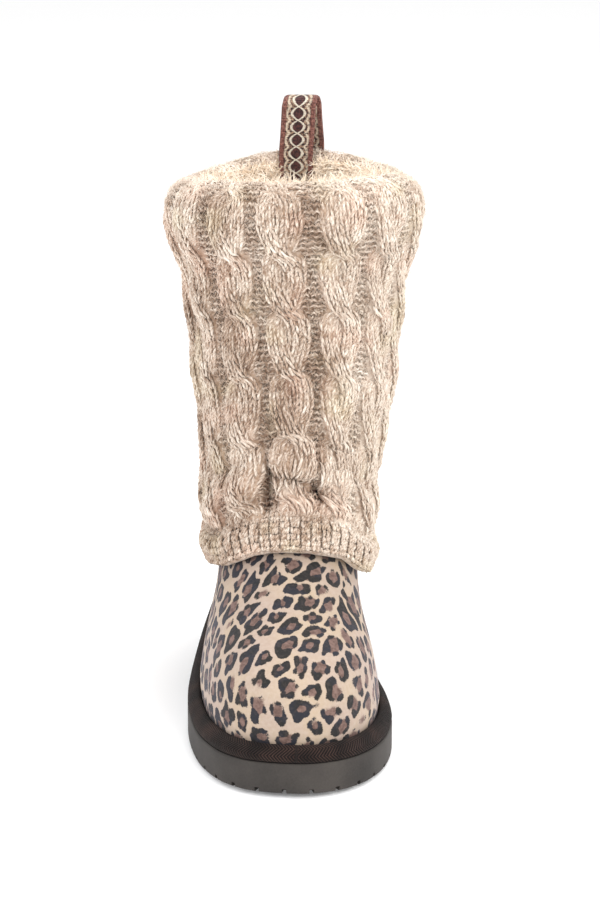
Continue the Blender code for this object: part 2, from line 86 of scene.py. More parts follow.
class Finish:
    def __init__(self, name, slot=None, **constants):
        self.slot = slot
        self.material = bpy.data.materials.new(name)
        self.material.use_nodes = True
        self.tree = self.material.node_tree
        self.shader = self.tree.nodes["Principled BSDF"]
        self.set(**constants)

    def set(self, **values):
        """Sets the shader's sockets; base_color stands for Base Color."""
        for name, value in values.items():
            self.put(self.shader.inputs[name.replace("_", " ").title().replace("Ior", "IOR")], value)

    def put(self, socket, value):
        if isinstance(value, Shade):
            self.tree.links.new(value.socket, socket)
        elif value is not None:
            if not isinstance(value, (int, float)) and len(socket.default_value) == 4:
                value = (*value[:3], 1.0)
            socket.default_value = value

    def add(self, node_type, settings, *sockets, output=0, **named):
        node = self.tree.nodes.new(node_type)
        for name, value in settings.items():
            if name == "stops":
                for _ in value[2:]:
                    node.color_ramp.elements.new(0.5)
                for element, (place, colour) in zip(node.color_ramp.elements, value):
                    element.position = place
                    element.color = (*colour, 1.0)
            else:
                setattr(node, name, value)
        for socket, value in zip(node.inputs, sockets):
            self.put(socket, value)
        for name, value in named.items():
            self.put(node.inputs[name.replace("_", " ").title()], value)
        return Shade(self, node.outputs[output])

    def ramp(self, factor, *stops):
        return self.add("ShaderNodeValToRGB", {"stops": stops}, factor)

    def mix(self, factor, first, second):
        """Mixes two colours, for which the node has sockets 6 and 7 and output 2."""
        node = self.tree.nodes.new("ShaderNodeMix")
        node.data_type = "RGBA"
        for socket, value in zip((node.inputs[0], node.inputs[6], node.inputs[7]), (factor, first, second)):
            self.put(socket, value)
        return Shade(self, node.outputs[2])

    def attribute(self, name):
        return self.add("ShaderNodeAttribute", {"attribute_name": name}, output=2)

    def noise(self, scale, detail):
        place = self.add("ShaderNodeTexCoord", {}, output=3)
        return self.add("ShaderNodeTexNoise", {}, Vector=place, Scale=scale, Detail=detail)

    def bump(self, height, distance, strength=1.0):
        self.set(normal=self.add("ShaderNodeBump", {}, Height=height, Distance=distance, Strength=strength))


def paint(red, green, blue):
    """A colour as read from a picture, 0 to 255, made linear for the shader."""
    return tuple(((c / 255 + 0.055) / 1.055) ** 2.4 if c > 10 else c / 3295 for c in (red, green, blue))


# %% [markdown]
# The photograph looks at the toe from slightly above with a long lens, from 1.5 m away. The camera is put at
# that place and turned, so that the boot falls where it does in the picture without any lens shift.

# %% Camera
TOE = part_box("outsole")[0].y
SOLE_AXIS = -0.003
DISTANCE, LOOK_DOWN = 1.5, math.radians(23)
FOCAL_PIXELS, PICTURE_WIDTH, SENSOR_WIDTH = 3151.0, 600, 36
RIGHT_PIXELS, UP_PIXELS = 10, 13.3
eye = Vector((SOLE_AXIS, TOE - DISTANCE, DISTANCE * math.tan(LOOK_DOWN)))
ahead = (Vector((SOLE_AXIS, TOE + 0.1, 0.15)) - eye).normalized()
right = ahead.cross(Vector((0, 0, 1))).normalized()
above = right.cross(ahead)
aim = ahead + right * (RIGHT_PIXELS / FOCAL_PIXELS) + above * (UP_PIXELS / FOCAL_PIXELS)

lens = bpy.data.cameras.new("camera")
lens.sensor_fit = "HORIZONTAL"
lens.sensor_width = SENSOR_WIDTH
lens.lens = FOCAL_PIXELS / PICTURE_WIDTH * SENSOR_WIDTH
lens.clip_start = 0.05
camera = bpy.data.objects.new("camera", lens)
bpy.context.scene.collection.objects.link(camera)
camera.location = eye
camera.rotation_euler = aim.to_track_quat("-Z", "Y").to_euler()
bpy.context.scene.camera = camera
print("camera at", [round(x, 3) for x in eye])

# %% [markdown]
# The studio is plain: a white floor, a large soft lamp up on the right, a weaker one on the left, and an even
# pale sky that keeps the shadows light. The floor is one big plane, so that no edge of it shows.

# %% Floor and lights
bpy.ops.mesh.primitive_plane_add(size=12, location=(0, 0, 0))
floor = bpy.context.object
floor.name = "floor"
white = Finish("studio_white", base_color=(0.92, 0.92, 0.92), roughness=0.9)
white.set(emission_color=(1, 1, 1), emission_strength=0.12)
floor.data.materials.append(white.material)

world = bpy.data.worlds.new("studio")
bpy.context.scene.world = world
world.use_nodes = True
world.node_tree.nodes["Background"].inputs["Color"].default_value = (1, 1, 1, 1)
world.node_tree.nodes["Background"].inputs["Strength"].default_value = 0.84
bpy.context.scene.view_settings.view_transform = "Standard"


def lamp(name, place, target, size, watts, colour=(1, 1, 1)):
    light = bpy.data.lights.new(name, "AREA")
    light.size = size
    light.energy = watts
    light.color = colour
    made = bpy.data.objects.new(name, light)
    bpy.context.scene.collection.objects.link(made)
    made.location = place
    made.rotation_euler = (Vector(target) - Vector(place)).to_track_quat("-Z", "Y").to_euler()


lamp("key", (1.3, -0.9, 1.2), (0, 0, 0.15), 1.3, 20)
lamp("fill", (-1.2, -1.1, 0.9), (0, 0, 0.12), 1.0, 13, (0.95, 0.96, 1.0))
lamp("top", (0.1, 0.1, 1.9), (0, 0, 0.2), 0.7, 15)

# %% [markdown]
# The boot is built on a last: a sole outline, and rings that climb from it to the collar. The tables hold
# shares of a few named sizes in metres. The last is the same as in the CAD model, so that every surface here
# meets the solids, and only the sleeve's hem, its rim and the cables' repeat lie a little closer to the photograph.

# %% Sizes and tables
SOLE_LENGTH, BALL_WIDTH = 0.282, 0.110
FOREFOOT_SOLE, HEEL_SOLE, TOE_SPRING = 0.0165, 0.0225, 0.0025
BAND_RISE, BAND_WIDTH, SEAT_DEPTH = 0.0085, 0.0072, 0.0020
UPPER_WALL, INSTEP_RISE, SHAFT_RISE = 0.0025, 0.092, 0.169
ANKLE_WIDTH, COLLAR_WIDTH, COLLAR_DIP, COLLAR_TILT = 0.082, 0.114, 0.008, 0.003
KNIT_WALL, KNIT_EASE, FOLD_WALL = 0.0055, 0.0014, 0.0045
ROLL_BULGE, ROLL_CROWN = 0.0062, 0.0074
CABLE_COUNT, CABLE_REPEAT = 14, 0.0365
INSOLE_THICKNESS, INSOLE_CUP = 0.007, 0.0015
TAPE_WIDTH, TAPE_THICKNESS, LOOP_RISE, LOOP_GAP = 0.019, 0.002, 0.0315, 0.008
LOOP_LEG_INSIDE, LOOP_LEG_OUTSIDE, LOOP_SET_BACK = 0.016, 0.024, 0.0052
LOOP_X_INSIDE, LOOP_X_OUTSIDE = 0.0035, 0.010
EDGE_ROUND, HEEL_BEVEL, ARCH_RISE, TREAD_DEPTH = 0.0012, 0.0020, 0.0020, 0.0026
NOTCH_SPACING, NOTCH_WIDTH, NOTCH_REACH = 0.0144, 0.0024, 0.0065
GROOVE_WIDTH, GROOVE_SPACING, GROOVED = 0.0032, 0.0145, ((0.13, 0.40), (0.70, 0.89))
SIPE_DEPTH, SIPE_WIDTH = 0.0012, 0.0009
FIT_GAP = 0.0003
OUTLINE = (
    # along, across
    (0.000, 0.036), (0.010, 0.172), (0.040, 0.295), (0.090, 0.394), (0.160, 0.464), (0.245, 0.494),
    (0.340, 0.477), (0.430, 0.438), (0.530, 0.394), (0.640, 0.368), (0.745, 0.359), (0.851, 0.340),
    (0.929, 0.276), (0.982, 0.150), (1.000, -0.027), (0.983, -0.200), (0.935, -0.330), (0.858, -0.398),
    (0.727, -0.437), (0.585, -0.473), (0.461, -0.498), (0.372, -0.506), (0.277, -0.494), (0.184, -0.453),
    (0.117, -0.394), (0.060, -0.309), (0.018, -0.175),
)
HEEL_ROW = 14
FOOT_RINGS = (
    # front_along, front_rise, back_along, back_rise, width, outline
    (0.0285, 0.200, 0.9800, 0.250, 0.834, 1.00),
    (0.0500, 0.335, 0.9810, 0.365, 0.788, 0.95),
    (0.1000, 0.440, 0.9770, 0.480, 0.744, 0.78),
    (0.1850, 0.545, 0.9700, 0.590, 0.717, 0.48),
    (0.2750, 0.665, 0.9610, 0.720, 0.703, 0.22),
    (0.3480, 0.808, 0.9540, 0.870, 0.703, 0.06),
)
SHAFT_RINGS = (
    # front_along, front_rise, back_along, back_rise, flare, lean, point, dip
    (0.3990, 0.000, 0.9470, 0.025, 0.00, 0.000, 1.00, 0.0),
    (0.4250, 0.128, 0.9380, 0.150, 0.05, 0.013, 1.00, 0.0),
    (0.4390, 0.275, 0.9255, 0.283, 0.25, 0.028, 1.03, 0.0),
    (0.4430, 0.482, 0.9080, 0.472, 0.48, 0.036, 1.10, 0.0),
    (0.4330, 0.735, 0.8860, 0.706, 0.70, 0.036, 1.18, 0.4),
    (0.4110, 1.010, 0.8580, 0.976, 1.00, 0.038, 1.25, 1.0),
)
HEM_LINE = (
    # turn, rise
    (0.000, 0.800), (0.036, 0.790), (0.071, 0.763), (0.107, 0.728), (0.143, 0.652), (0.179, 0.602), (0.214, 0.576),
    (0.250, 0.568), (0.375, 0.600), (0.500, 0.640), (0.625, 0.625), (0.750, 0.588), (0.786, 0.622), (0.821, 0.640),
    (0.857, 0.668), (0.893, 0.718), (0.929, 0.766), (0.964, 0.793), (1.000, 0.800),
)
RIM_LINE = (
    # turn, lift
    (0.000, -0.0024), (0.071, -0.0011), (0.143, 0.0016), (0.179, 0.0026), (0.214, 0.0015), (0.250, -0.0015),
    (0.300, -0.0035), (0.400, -0.0040), (0.500, -0.0036), (0.600, -0.0035), (0.650, -0.0020), (0.700, 0.0000),
    (0.750, 0.0025), (0.786, 0.0038), (0.821, 0.0045), (0.857, 0.0042), (0.893, 0.0031), (0.929, 0.0010),
    (0.964, -0.0012), (1.000, -0.0024),
)
WIDEST = 0.42
TOP_ROW = 3 + len(FOOT_RINGS) + len(SHAFT_RINGS) - 1


# %% Curves and the last
TAU = 6.2832


def smoothstep(low, high, value):
    t = np.clip((np.asarray(value, float) - low) / (high - low), 0, 1)
    return t * t * (3 - 2 * t)


def even_turns(count):
    return np.arange(count) / count


def between_corners(corner, s, t):
    """Reads between four corners, whose values corner(0 or 1 across, 0 or 1 up) gives."""
    low, high = (corner(0, k) * (1 - s) + corner(1, k) * s for k in (0, 1))
    return low * (1 - t) + high * t


def spline(rows, at, *column):
    """Catmull-Rom curve through rows, or through one column of them, read at positions that count rows."""
    rows = np.asarray(rows, float)
    padded = np.concatenate([2 * rows[:1] - rows[1:2], rows, 2 * rows[-1:] - rows[-2:-1]])
    at = np.clip(np.asarray(at, float), 0, len(rows) - 1)
    low = np.minimum(at.astype(int), len(rows) - 2)
    p0, p1, p2, p3 = (padded[(low + k, *column)] for k in range(4))
    t = (at - low).reshape(at.shape + (1,) * (p0.ndim - at.ndim))
    return p1 + 0.5 * t * (p2 - p0 + t * (2 * p0 - 5 * p1 + 4 * p2 - p3 + t * (3 * (p1 - p2) + p3 - p0)))


def evened(line, count, values=None):
    """The points of a line, or values given along it, read again at even distances; and the line's length."""
    walked = np.concatenate([[0], np.cumsum(np.linalg.norm(np.diff(line, axis=0), axis=1))])
    columns = line.T if values is None else [values]
    return np.stack([np.interp(np.linspace(0, walked[-1], count), walked, c) for c in columns], 1), walked[-1]


def dense_outline():
    """The sole's edge as 360 points (along, across) on each side, from the toe round to the toe again."""
    table = np.array(OUTLINE) * (SOLE_LENGTH, BALL_WIDTH)
    wrapped = np.concatenate([table[-2:], table, table[:3]])
    toe, heel, end = 2, 2 + HEEL_ROW, 2 + len(table)
    sides = (spline(wrapped, np.linspace(*ends, 2000)) for ends in ((toe, heel), (heel, end)))
    return np.concatenate([evened(side, 361)[0][:-1] for side in sides])


EDGE = dense_outline()
AXIS_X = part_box("outsole")[0].x - EDGE[:, 1].min()


def outline(turn, inset=0.0):
    tangent = np.roll(EDGE, -1, 0) - np.roll(EDGE, 1, 0)
    tangent /= np.hypot(*tangent.T)[:, None]
    moved = EDGE + np.stack([tangent[:, 1], -tangent[:, 0]], 1) * inset
    at = (np.asarray(turn) % 1) * len(moved)
    low = at.astype(int) % len(moved)
    t = (at - np.floor(at))[:, None]
    return moved[low] * (1 - t) + moved[(low + 1) % len(moved)] * t


def toe_lift(share):
    return TOE_SPRING * np.clip(1 - share / 0.24, 0, 1) ** 2


def sole_top(along):
    share = np.asarray(along) / SOLE_LENGTH
    return toe_lift(share) + FOREFOOT_SOLE + (HEEL_SOLE - FOREFOOT_SOLE) * smoothstep(0.36, 0.78, share)


def ground_line(along):
    """Underside of the outsole: toe spring, a low arch, and a bevel at the back of the heel."""
    share = np.asarray(along) / SOLE_LENGTH
    arch = ARCH_RISE * smoothstep(0.40, 0.472, share) * (1 - smoothstep(0.568, 0.64, share))
    return toe_lift(share) + arch + HEEL_BEVEL * np.clip((share - 0.93) / 0.07, 0, 1) ** 2


def seat(along):
    return sole_top(along) + FIT_GAP + BAND_RISE - SEAT_DEPTH


def ring(turn, inset, height, rise=0.0):
    """A ring inside the outline, whose points stand by rise above the line that height gives."""
    flat = outline(turn, inset)
    return np.stack([flat[:, 1] + AXIS_X, flat[:, 0] - SOLE_LENGTH / 2, height(flat[:, 0]) + rise], 1)


def oval(turn, point):
    angle = 2 * math.pi * np.asarray(turn)
    front = np.cos(angle) >= 0
    across = np.sin(angle)
    along = WIDEST - np.where(front, WIDEST, 1 - WIDEST) * np.cos(angle)
    return along, np.sign(across) * np.abs(across) ** np.where(front, 1.0, point)


def last_rings(turn):
    """The rings through which the upper's outer face runs, as an array of (ring, turn, xyz)."""
    edge = outline(turn) / (SOLE_LENGTH, BALL_WIDTH / 2)
    inner = BAND_WIDTH + FIT_GAP
    rings = [
        ring(turn, inner, seat, FIT_GAP),
        ring(turn, inner, seat, SEAT_DEPTH + 3 * FIT_GAP),
        ring(turn, inner - 2 * FIT_GAP, seat, 0.09 * INSTEP_RISE),
    ]
    base = float(seat(0.0))
    for fa, fr, ba, br, width, keep in FOOT_RINGS:
        along, across = oval(turn, 1.0)
        along = along + (edge[:, 0] - along) * keep
        across = across + (edge[:, 1] - across) * keep
        y = (fa + (ba - fa) * along - 0.5) * SOLE_LENGTH
        z = base + INSTEP_RISE * (fr + (br - fr) * along)
        rings.append(np.stack([AXIS_X + across * width * BALL_WIDTH / 2, y, z], 1))
    for fa, fr, ba, br, flare, lean, point, dip in SHAFT_RINGS:
        along, across = oval(turn, point)
        half = (ANKLE_WIDTH + (COLLAR_WIDTH - ANKLE_WIDTH) * flare) / 2
        y = (fa + (ba - fa) * along - 0.5) * SOLE_LENGTH
        z = base + INSTEP_RISE + SHAFT_RISE * (fr + (br - fr) * along)
        z = z + dip * (COLLAR_TILT * across - COLLAR_DIP * across**2)
        rings.append(np.stack([AXIS_X + across * half + lean * ANKLE_WIDTH, y, z], 1))
    return np.array(rings)


def unit(vectors):
    return vectors / np.maximum(np.linalg.norm(vectors, axis=-1, keepdims=True), 1e-12)


def last_grid(turn, levels):
    """Points and outward normals of the last for turns (n) and levels (n by m), counted in rings."""
    rings, column = last_rings(turn), np.arange(len(turn))[:, None]
    points, above, below = (spline(rings, levels + step, column) for step in (0, 0.01, -0.01))
    around = np.roll(points, -1, 0) - np.roll(points, 1, 0)
    return points, unit(np.cross(around, above - below))


def level_at(turn, height):
    """The level at which each column reaches a height."""
    levels = np.linspace(3, TOP_ROW, 241)
    points, _ = last_grid(turn, np.tile(levels, (len(turn), 1)))
    height = np.broadcast_to(height, turn.shape)
    return np.array([np.interp(h, column[:, 2], levels) for h, column in zip(height, points)])


print("seat at the toe", round(float(seat(0.0)), 4), "axis", round(AXIS_X, 4))


# %% Mesh helpers
def new_piece(name, points, faces, finish, smooth=True, **attributes):
    """A mesh from arrays of points and of triangles or quads, which rides on the boot."""
    mesh = bpy.data.meshes.new(name)
    faces = np.asarray(faces, np.int32)
    sides = faces.shape[1]
    mesh.vertices.add(len(points))
    mesh.vertices.foreach_set("co", np.asarray(points, np.float32).ravel())
    mesh.loops.add(faces.size)
    mesh.loops.foreach_set("vertex_index", faces.ravel())
    mesh.polygons.add(len(faces))
    mesh.polygons.foreach_set("loop_start", np.arange(0, faces.size, sides, dtype=np.int32))
    mesh.polygons.foreach_set("use_smooth", np.full(len(faces), smooth))
    mesh.update(calc_edges=True)
    for label, values in attributes.items():
        mesh.attributes.new(label, "FLOAT", "POINT").data.foreach_set("value", np.asarray(values, np.float32).ravel())
    made = bpy.data.objects.new(name, mesh)
    bpy.context.scene.collection.objects.link(made)
    mesh.materials.append(finish.material)
    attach(made, "root")
    print(name, len(faces) * (sides - 2), "triangles")
    return made


def grid_piece(name, grid, finish, closed_rows=False, turned=False, **attributes):
    """A piece of quads from a grid of points (row, turn, xyz) whose columns go all the way round.

    turned lists the corners of each quad the other way round.
    """
    rows, count, _ = grid.shape
    column, row = np.meshgrid(np.arange(count), np.arange(rows if closed_rows else rows - 1))
    after, above = (column + 1) % count, (row + 1) % rows
    corners = [row * count + column, row * count + after, above * count + after, above * count + column]
    faces = np.stack(corners[::-1] if turned else corners, -1).reshape(-1, 4)
    return new_piece(name, grid.reshape(-1, 3), faces, finish, **attributes)


class Speckle:
    """Smooth seeded noise on a plane that closes on itself from left to right, from -1 to 1."""

    def __init__(self, seed, across, up):
        self.grid = np.random.default_rng(seed).uniform(-1, 1, (up, across))

    def __call__(self, turn, rise):
        up, across = self.grid.shape
        x, y = (np.asarray(turn) % 1) * across, np.clip(np.asarray(rise), 0, 1) * (up - 1.001)
        i, j = x.astype(int), y.astype(int)
        s, t = smoothstep(0, 1, x - i), smoothstep(0, 1, y - j)
        return between_corners(lambda right, above: self.grid[j + above, (i + right) % across], s, t)


# %% [markdown]
# ## Outsole
# The outsole is one rubber moulding with a plain side, small notches in its lower edge and grooves beneath. A
# fine slab is lofted along the outline and closed across its width, and then boxes are cut out of it, as an end
# mill cuts the mould. Thin sipes, which the CAD model leaves out, are cut between the grooves.

# %% Rubber
rubber = Finish("sole_rubber", "rubber", roughness=0.62, specular_ior_level=0.25)
grain, cloud = rubber.noise(900, 4), rubber.noise(28, 3)
rubber.set(base_color=rubber.ramp(cloud * 0.8 + grain * 0.2, (0.3, paint(38, 35, 33)), (0.7, paint(70, 65, 61))))
rubber.bump(grain * 0.6 + rubber.noise(2600, 2) * 0.4, 0.0002, 0.35)


# %% Outsole
def ladder(edge, height, steps):
    """Rings that close a surface across: each point moves to the middle between it and the one opposite."""
    opposite = edge[(-np.arange(len(edge))) % len(edge)]
    rings = []
    for share in np.linspace(0, 0.5, steps)[1:]:
        points = edge + (opposite - edge) * share
        points[:, 2] = height(points)
        rings.append(points)
    return rings


def choose(piece):
    """Selects a piece alone and makes it the active one."""
    bpy.ops.object.select_all(action="DESELECT")
    piece.select_set(True)
    bpy.context.view_layer.objects.active = piece


def weld(piece):
    """Merges the points that meet on the middle line, and turns all faces outwards."""
    choose(piece)
    bpy.ops.object.mode_set(mode="EDIT")
    bpy.ops.mesh.select_all(action="SELECT")
    bpy.ops.mesh.remove_doubles(threshold=0.00002)
    bpy.ops.mesh.normals_make_consistent(inside=False)
    bpy.ops.object.mode_set(mode="OBJECT")


def tread_boxes():
    """One mesh of boxes: notches round the edge, grooves below, and a thin sipe between two grooves."""
    bpy.ops.mesh.primitive_cube_add(size=1, location=(0, 0, -1))
    boxes = bpy.context.object
    bpy.ops.object.mode_set(mode="EDIT")

    def box(along, across, depth, long, wide, angle):
        low, top = -TREAD_DEPTH, float(ground_line(along)) + depth
        place = (across + AXIS_X, along - SOLE_LENGTH / 2, (top + low) / 2)
        bpy.ops.mesh.primitive_cube_add(size=1, location=place, rotation=(0, 0, angle), scale=(long, wide, top - low))

    length = np.linalg.norm(EDGE - np.roll(EDGE, 1, 0), axis=1).sum()
    count = round(length / NOTCH_SPACING)
    notches = even_turns(count) + 0.5 / count
    for (along, across), (inner_along, inner_across) in zip(outline(notches), outline(notches, NOTCH_REACH)):
        angle = math.atan2(inner_along - along, inner_across - across)
        box(along, across, TREAD_DEPTH, 2 * NOTCH_REACH, NOTCH_WIDTH, angle)
    near = outline(even_turns(360), NOTCH_REACH + GROOVE_WIDTH)
    for first, last in GROOVED:
        for k in range(2 * (int((last - first) * SOLE_LENGTH / GROOVE_SPACING) + 1) - 1):
            along = first * SOLE_LENGTH + k * GROOVE_SPACING / 2
            inner = np.interp(along, near[:180, 0], near[:180, 1])
            outer = np.interp(along, near[:180:-1, 0], near[:180:-1, 1])
            depth, wide = ((TREAD_DEPTH, GROOVE_WIDTH), (SIPE_DEPTH, SIPE_WIDTH))[k % 2]
            box(along, (inner + outer) / 2, depth, inner - outer, wide, 0.0)
    bpy.ops.object.mode_set(mode="OBJECT")
    return boxes


SOLE_SECTION = (
    # inset in edge rounds, share of the way down, rise in edge rounds
    (0.50, 0, 0), (0.15, 0, -0.35), (0, 0.08, 0), (0, 0.30, 0), (0, 0.55, 0), (0, 0.80, 0),
    (0, 1, 1.60), (0.10, 1, 0.90), (0.35, 1, 0.35), (1, 1, 0),
)


def outsole():
    turn = even_turns(720)
    rings = [
        ring(turn, inset * EDGE_ROUND, lambda s: sole_top(s) * (1 - low) + ground_line(s) * low + rise * EDGE_ROUND)
        for inset, low, rise in SOLE_SECTION
    ]
    top = ladder(rings[0], lambda p: sole_top(p[:, 1] + SOLE_LENGTH / 2), 4)
    bottom = ladder(rings[-1], lambda p: ground_line(p[:, 1] + SOLE_LENGTH / 2), 7)
    made = grid_piece("rubber_outsole", np.array(top[::-1] + rings + bottom), rubber)
    weld(made)
    boxes = tread_boxes()
    cut = made.modifiers.new("tread", "BOOLEAN")
    cut.object = boxes
    cut.solver = "EXACT"
    choose(made)
    bpy.ops.object.modifier_apply(modifier="tread")
    bpy.data.objects.remove(boxes)
    bpy.ops.object.shade_smooth_by_angle(angle=math.radians(35))
    made.data.materials.clear()
    made.data.materials.append(rubber.material)
    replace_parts(made, "outsole")
    print("outsole", len(made.data.polygons), "faces after cutting")


outsole()

# %% [markdown]
# ## Tape-wrapped midsole
# A brown woven tape is wrapped round the midsole. Its section rises from the outsole's edge, rolls inwards and
# drops to the seat of the upper. It is lofted along the outline, so that the weave can follow the tape.

# %% Midsole
BAND_SECTION = (
    # inset, rise: shares of BAND_WIDTH and BAND_RISE
    (0.16, 0.00), (0.05, 0.08), (0.01, 0.24), (0.10, 0.50), (0.28, 0.71), (0.48, 0.87), (0.68, 0.97),
    (0.83, 1.00), (0.94, 0.95), (1.00, 0.82),
)


def twill(across, along):
    """Herringbone ribs: slanting lines that turn back at each stripe of the tape."""
    zigzag = (across * 240).math("PINGPONG", 1.0)
    return ((along * 560 + zigzag * 2.3) * TAU).math("SINE")


tape = Finish("brown_tape", "brown_tape", roughness=0.9, specular_ior_level=0.2, sheen_weight=0.03)
ribs = twill(tape.attribute("across"), tape.attribute("along"))
threads = (tape.attribute("along") * 9000).math("SINE")
tape_tone = (ribs * 0.24 + tape.noise(70, 3) * 0.9 + threads * 0.03).clamp()
tape.set(base_color=tape.ramp(tape_tone, (0.25, paint(13, 8, 6)), (0.55, paint(30, 19, 16)), (0.85, paint(70, 51, 44))))
tape.bump(ribs * 0.6 + threads * 0.15 + tape.noise(1800, 2) * 0.5, 0.0006, 0.8)


SEAT_LEDGE = 0.006


def midsole():
    turn = even_turns(360)
    rings = [
        ring(turn, inset * BAND_WIDTH, lambda s: sole_top(s) + FIT_GAP + rise * BAND_RISE)
        for inset, rise in spline(BAND_SECTION, np.linspace(0, len(BAND_SECTION) - 1, 20))
    ]
    rings += [ring(turn, BAND_WIDTH + inset, seat) for inset in (0.0001, SEAT_LEDGE)]
    rings.append(ring(turn, BAND_WIDTH + SEAT_LEDGE, sole_top, FIT_GAP))
    rings = np.array(rings)
    walked = np.cumsum(np.linalg.norm(np.diff(rings, axis=0, prepend=rings[:1]), axis=2), 0)
    length = np.linalg.norm(rings[0] - np.roll(rings[0], 1, 0), axis=1)
    along = np.tile(np.cumsum(length), (len(rings), 1))
    return grid_piece("tape_midsole", rings, tape, closed_rows=True, across=walked, along=along)


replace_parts(midsole(), "midsole")

# %% [markdown]
# ## Suede foot with a leopard print
# The print is a scatter of rosettes, each a broken dark ring round a brown middle, with small solid spots
# between. A picture can't be used, so each rosette is drawn by distance: every point of a fine mesh keeps how
# deep it lies inside the dark and the brown shapes, and the material cuts those depths with a soft edge.


# %% Suede upper
PRINTED_LEVEL = 10.2
PRINTED_ROWS, HIDDEN_ROWS = 148, 10


def upper_mesh():
    """Points row by row from the seat up the outside to the collar, then down the inside; and the outside's normals."""
    half = np.linspace(0, 0.5, 251)[:-1]
    eased = half - 0.010 * np.sin(4 * math.pi * half) - 0.016 * np.sin(2 * math.pi * half)
    turn = np.unique(np.concatenate([eased, 1 - eased[::-1]]) % 1)
    fine = np.linspace(0, PRINTED_LEVEL, 1500)
    points, _ = last_grid(turn, np.tile(fine, (len(turn), 1)))
    even = np.array([evened(column, PRINTED_ROWS, fine)[0][:, 0] for column in points])
    coarse = np.tile(np.linspace(PRINTED_LEVEL + 0.2, TOP_ROW, HIDDEN_ROWS), (len(turn), 1))
    outer_levels = np.concatenate([even, coarse], 1)
    outer, outer_normal = last_grid(turn, outer_levels)
    inner_levels = np.tile(np.linspace(TOP_ROW, 0, HIDDEN_ROWS), (len(turn), 1))
    inner, inner_normal = last_grid(turn, inner_levels)
    inner = inner - inner_normal * UPPER_WALL
    inner[:, -1, 2] = outer[:, 0, 2]
    grid = np.concatenate([outer, inner], 1).transpose(1, 0, 2)
    return grid, outer_normal.transpose(1, 0, 2)


upper_grid, upper_normals = upper_mesh()
print("upper grid", upper_grid.shape)


# %% Leopard rosettes
def scatter(points, spacing, seed):
    """Spots picked from points so that no two are nearer than spacing."""
    cell, picked = {}, []
    for i in np.random.default_rng(seed).permutation(len(points)):
        x, y, z = (points[i] // spacing).astype(int)
        near = (cell.get((x + a, y + b, z + c), ()) for a in (-1, 0, 1) for b in (-1, 0, 1) for c in (-1, 0, 1))
        if all(np.linalg.norm(points[i] - points[j]) > spacing for group in near for j in group):
            cell.setdefault((x, y, z), []).append(i)
            picked.append(i)
    return np.array(picked)


GAP = 0.0021  # the pale ground between two rosettes
PRINT_TOP = 0.130  # the sleeve hides the suede above
ROSETTES_APART, SPOTS_APART, SPOT_TO_ROSETTE = 0.0106, 0.0068, 0.0086
ROSETTE_SIZES, SPOT_SIZES = (0.0052, 0.0082), (0.0024, 0.0036)
SPECK, OUTSIDE = 0.0010, -0.01


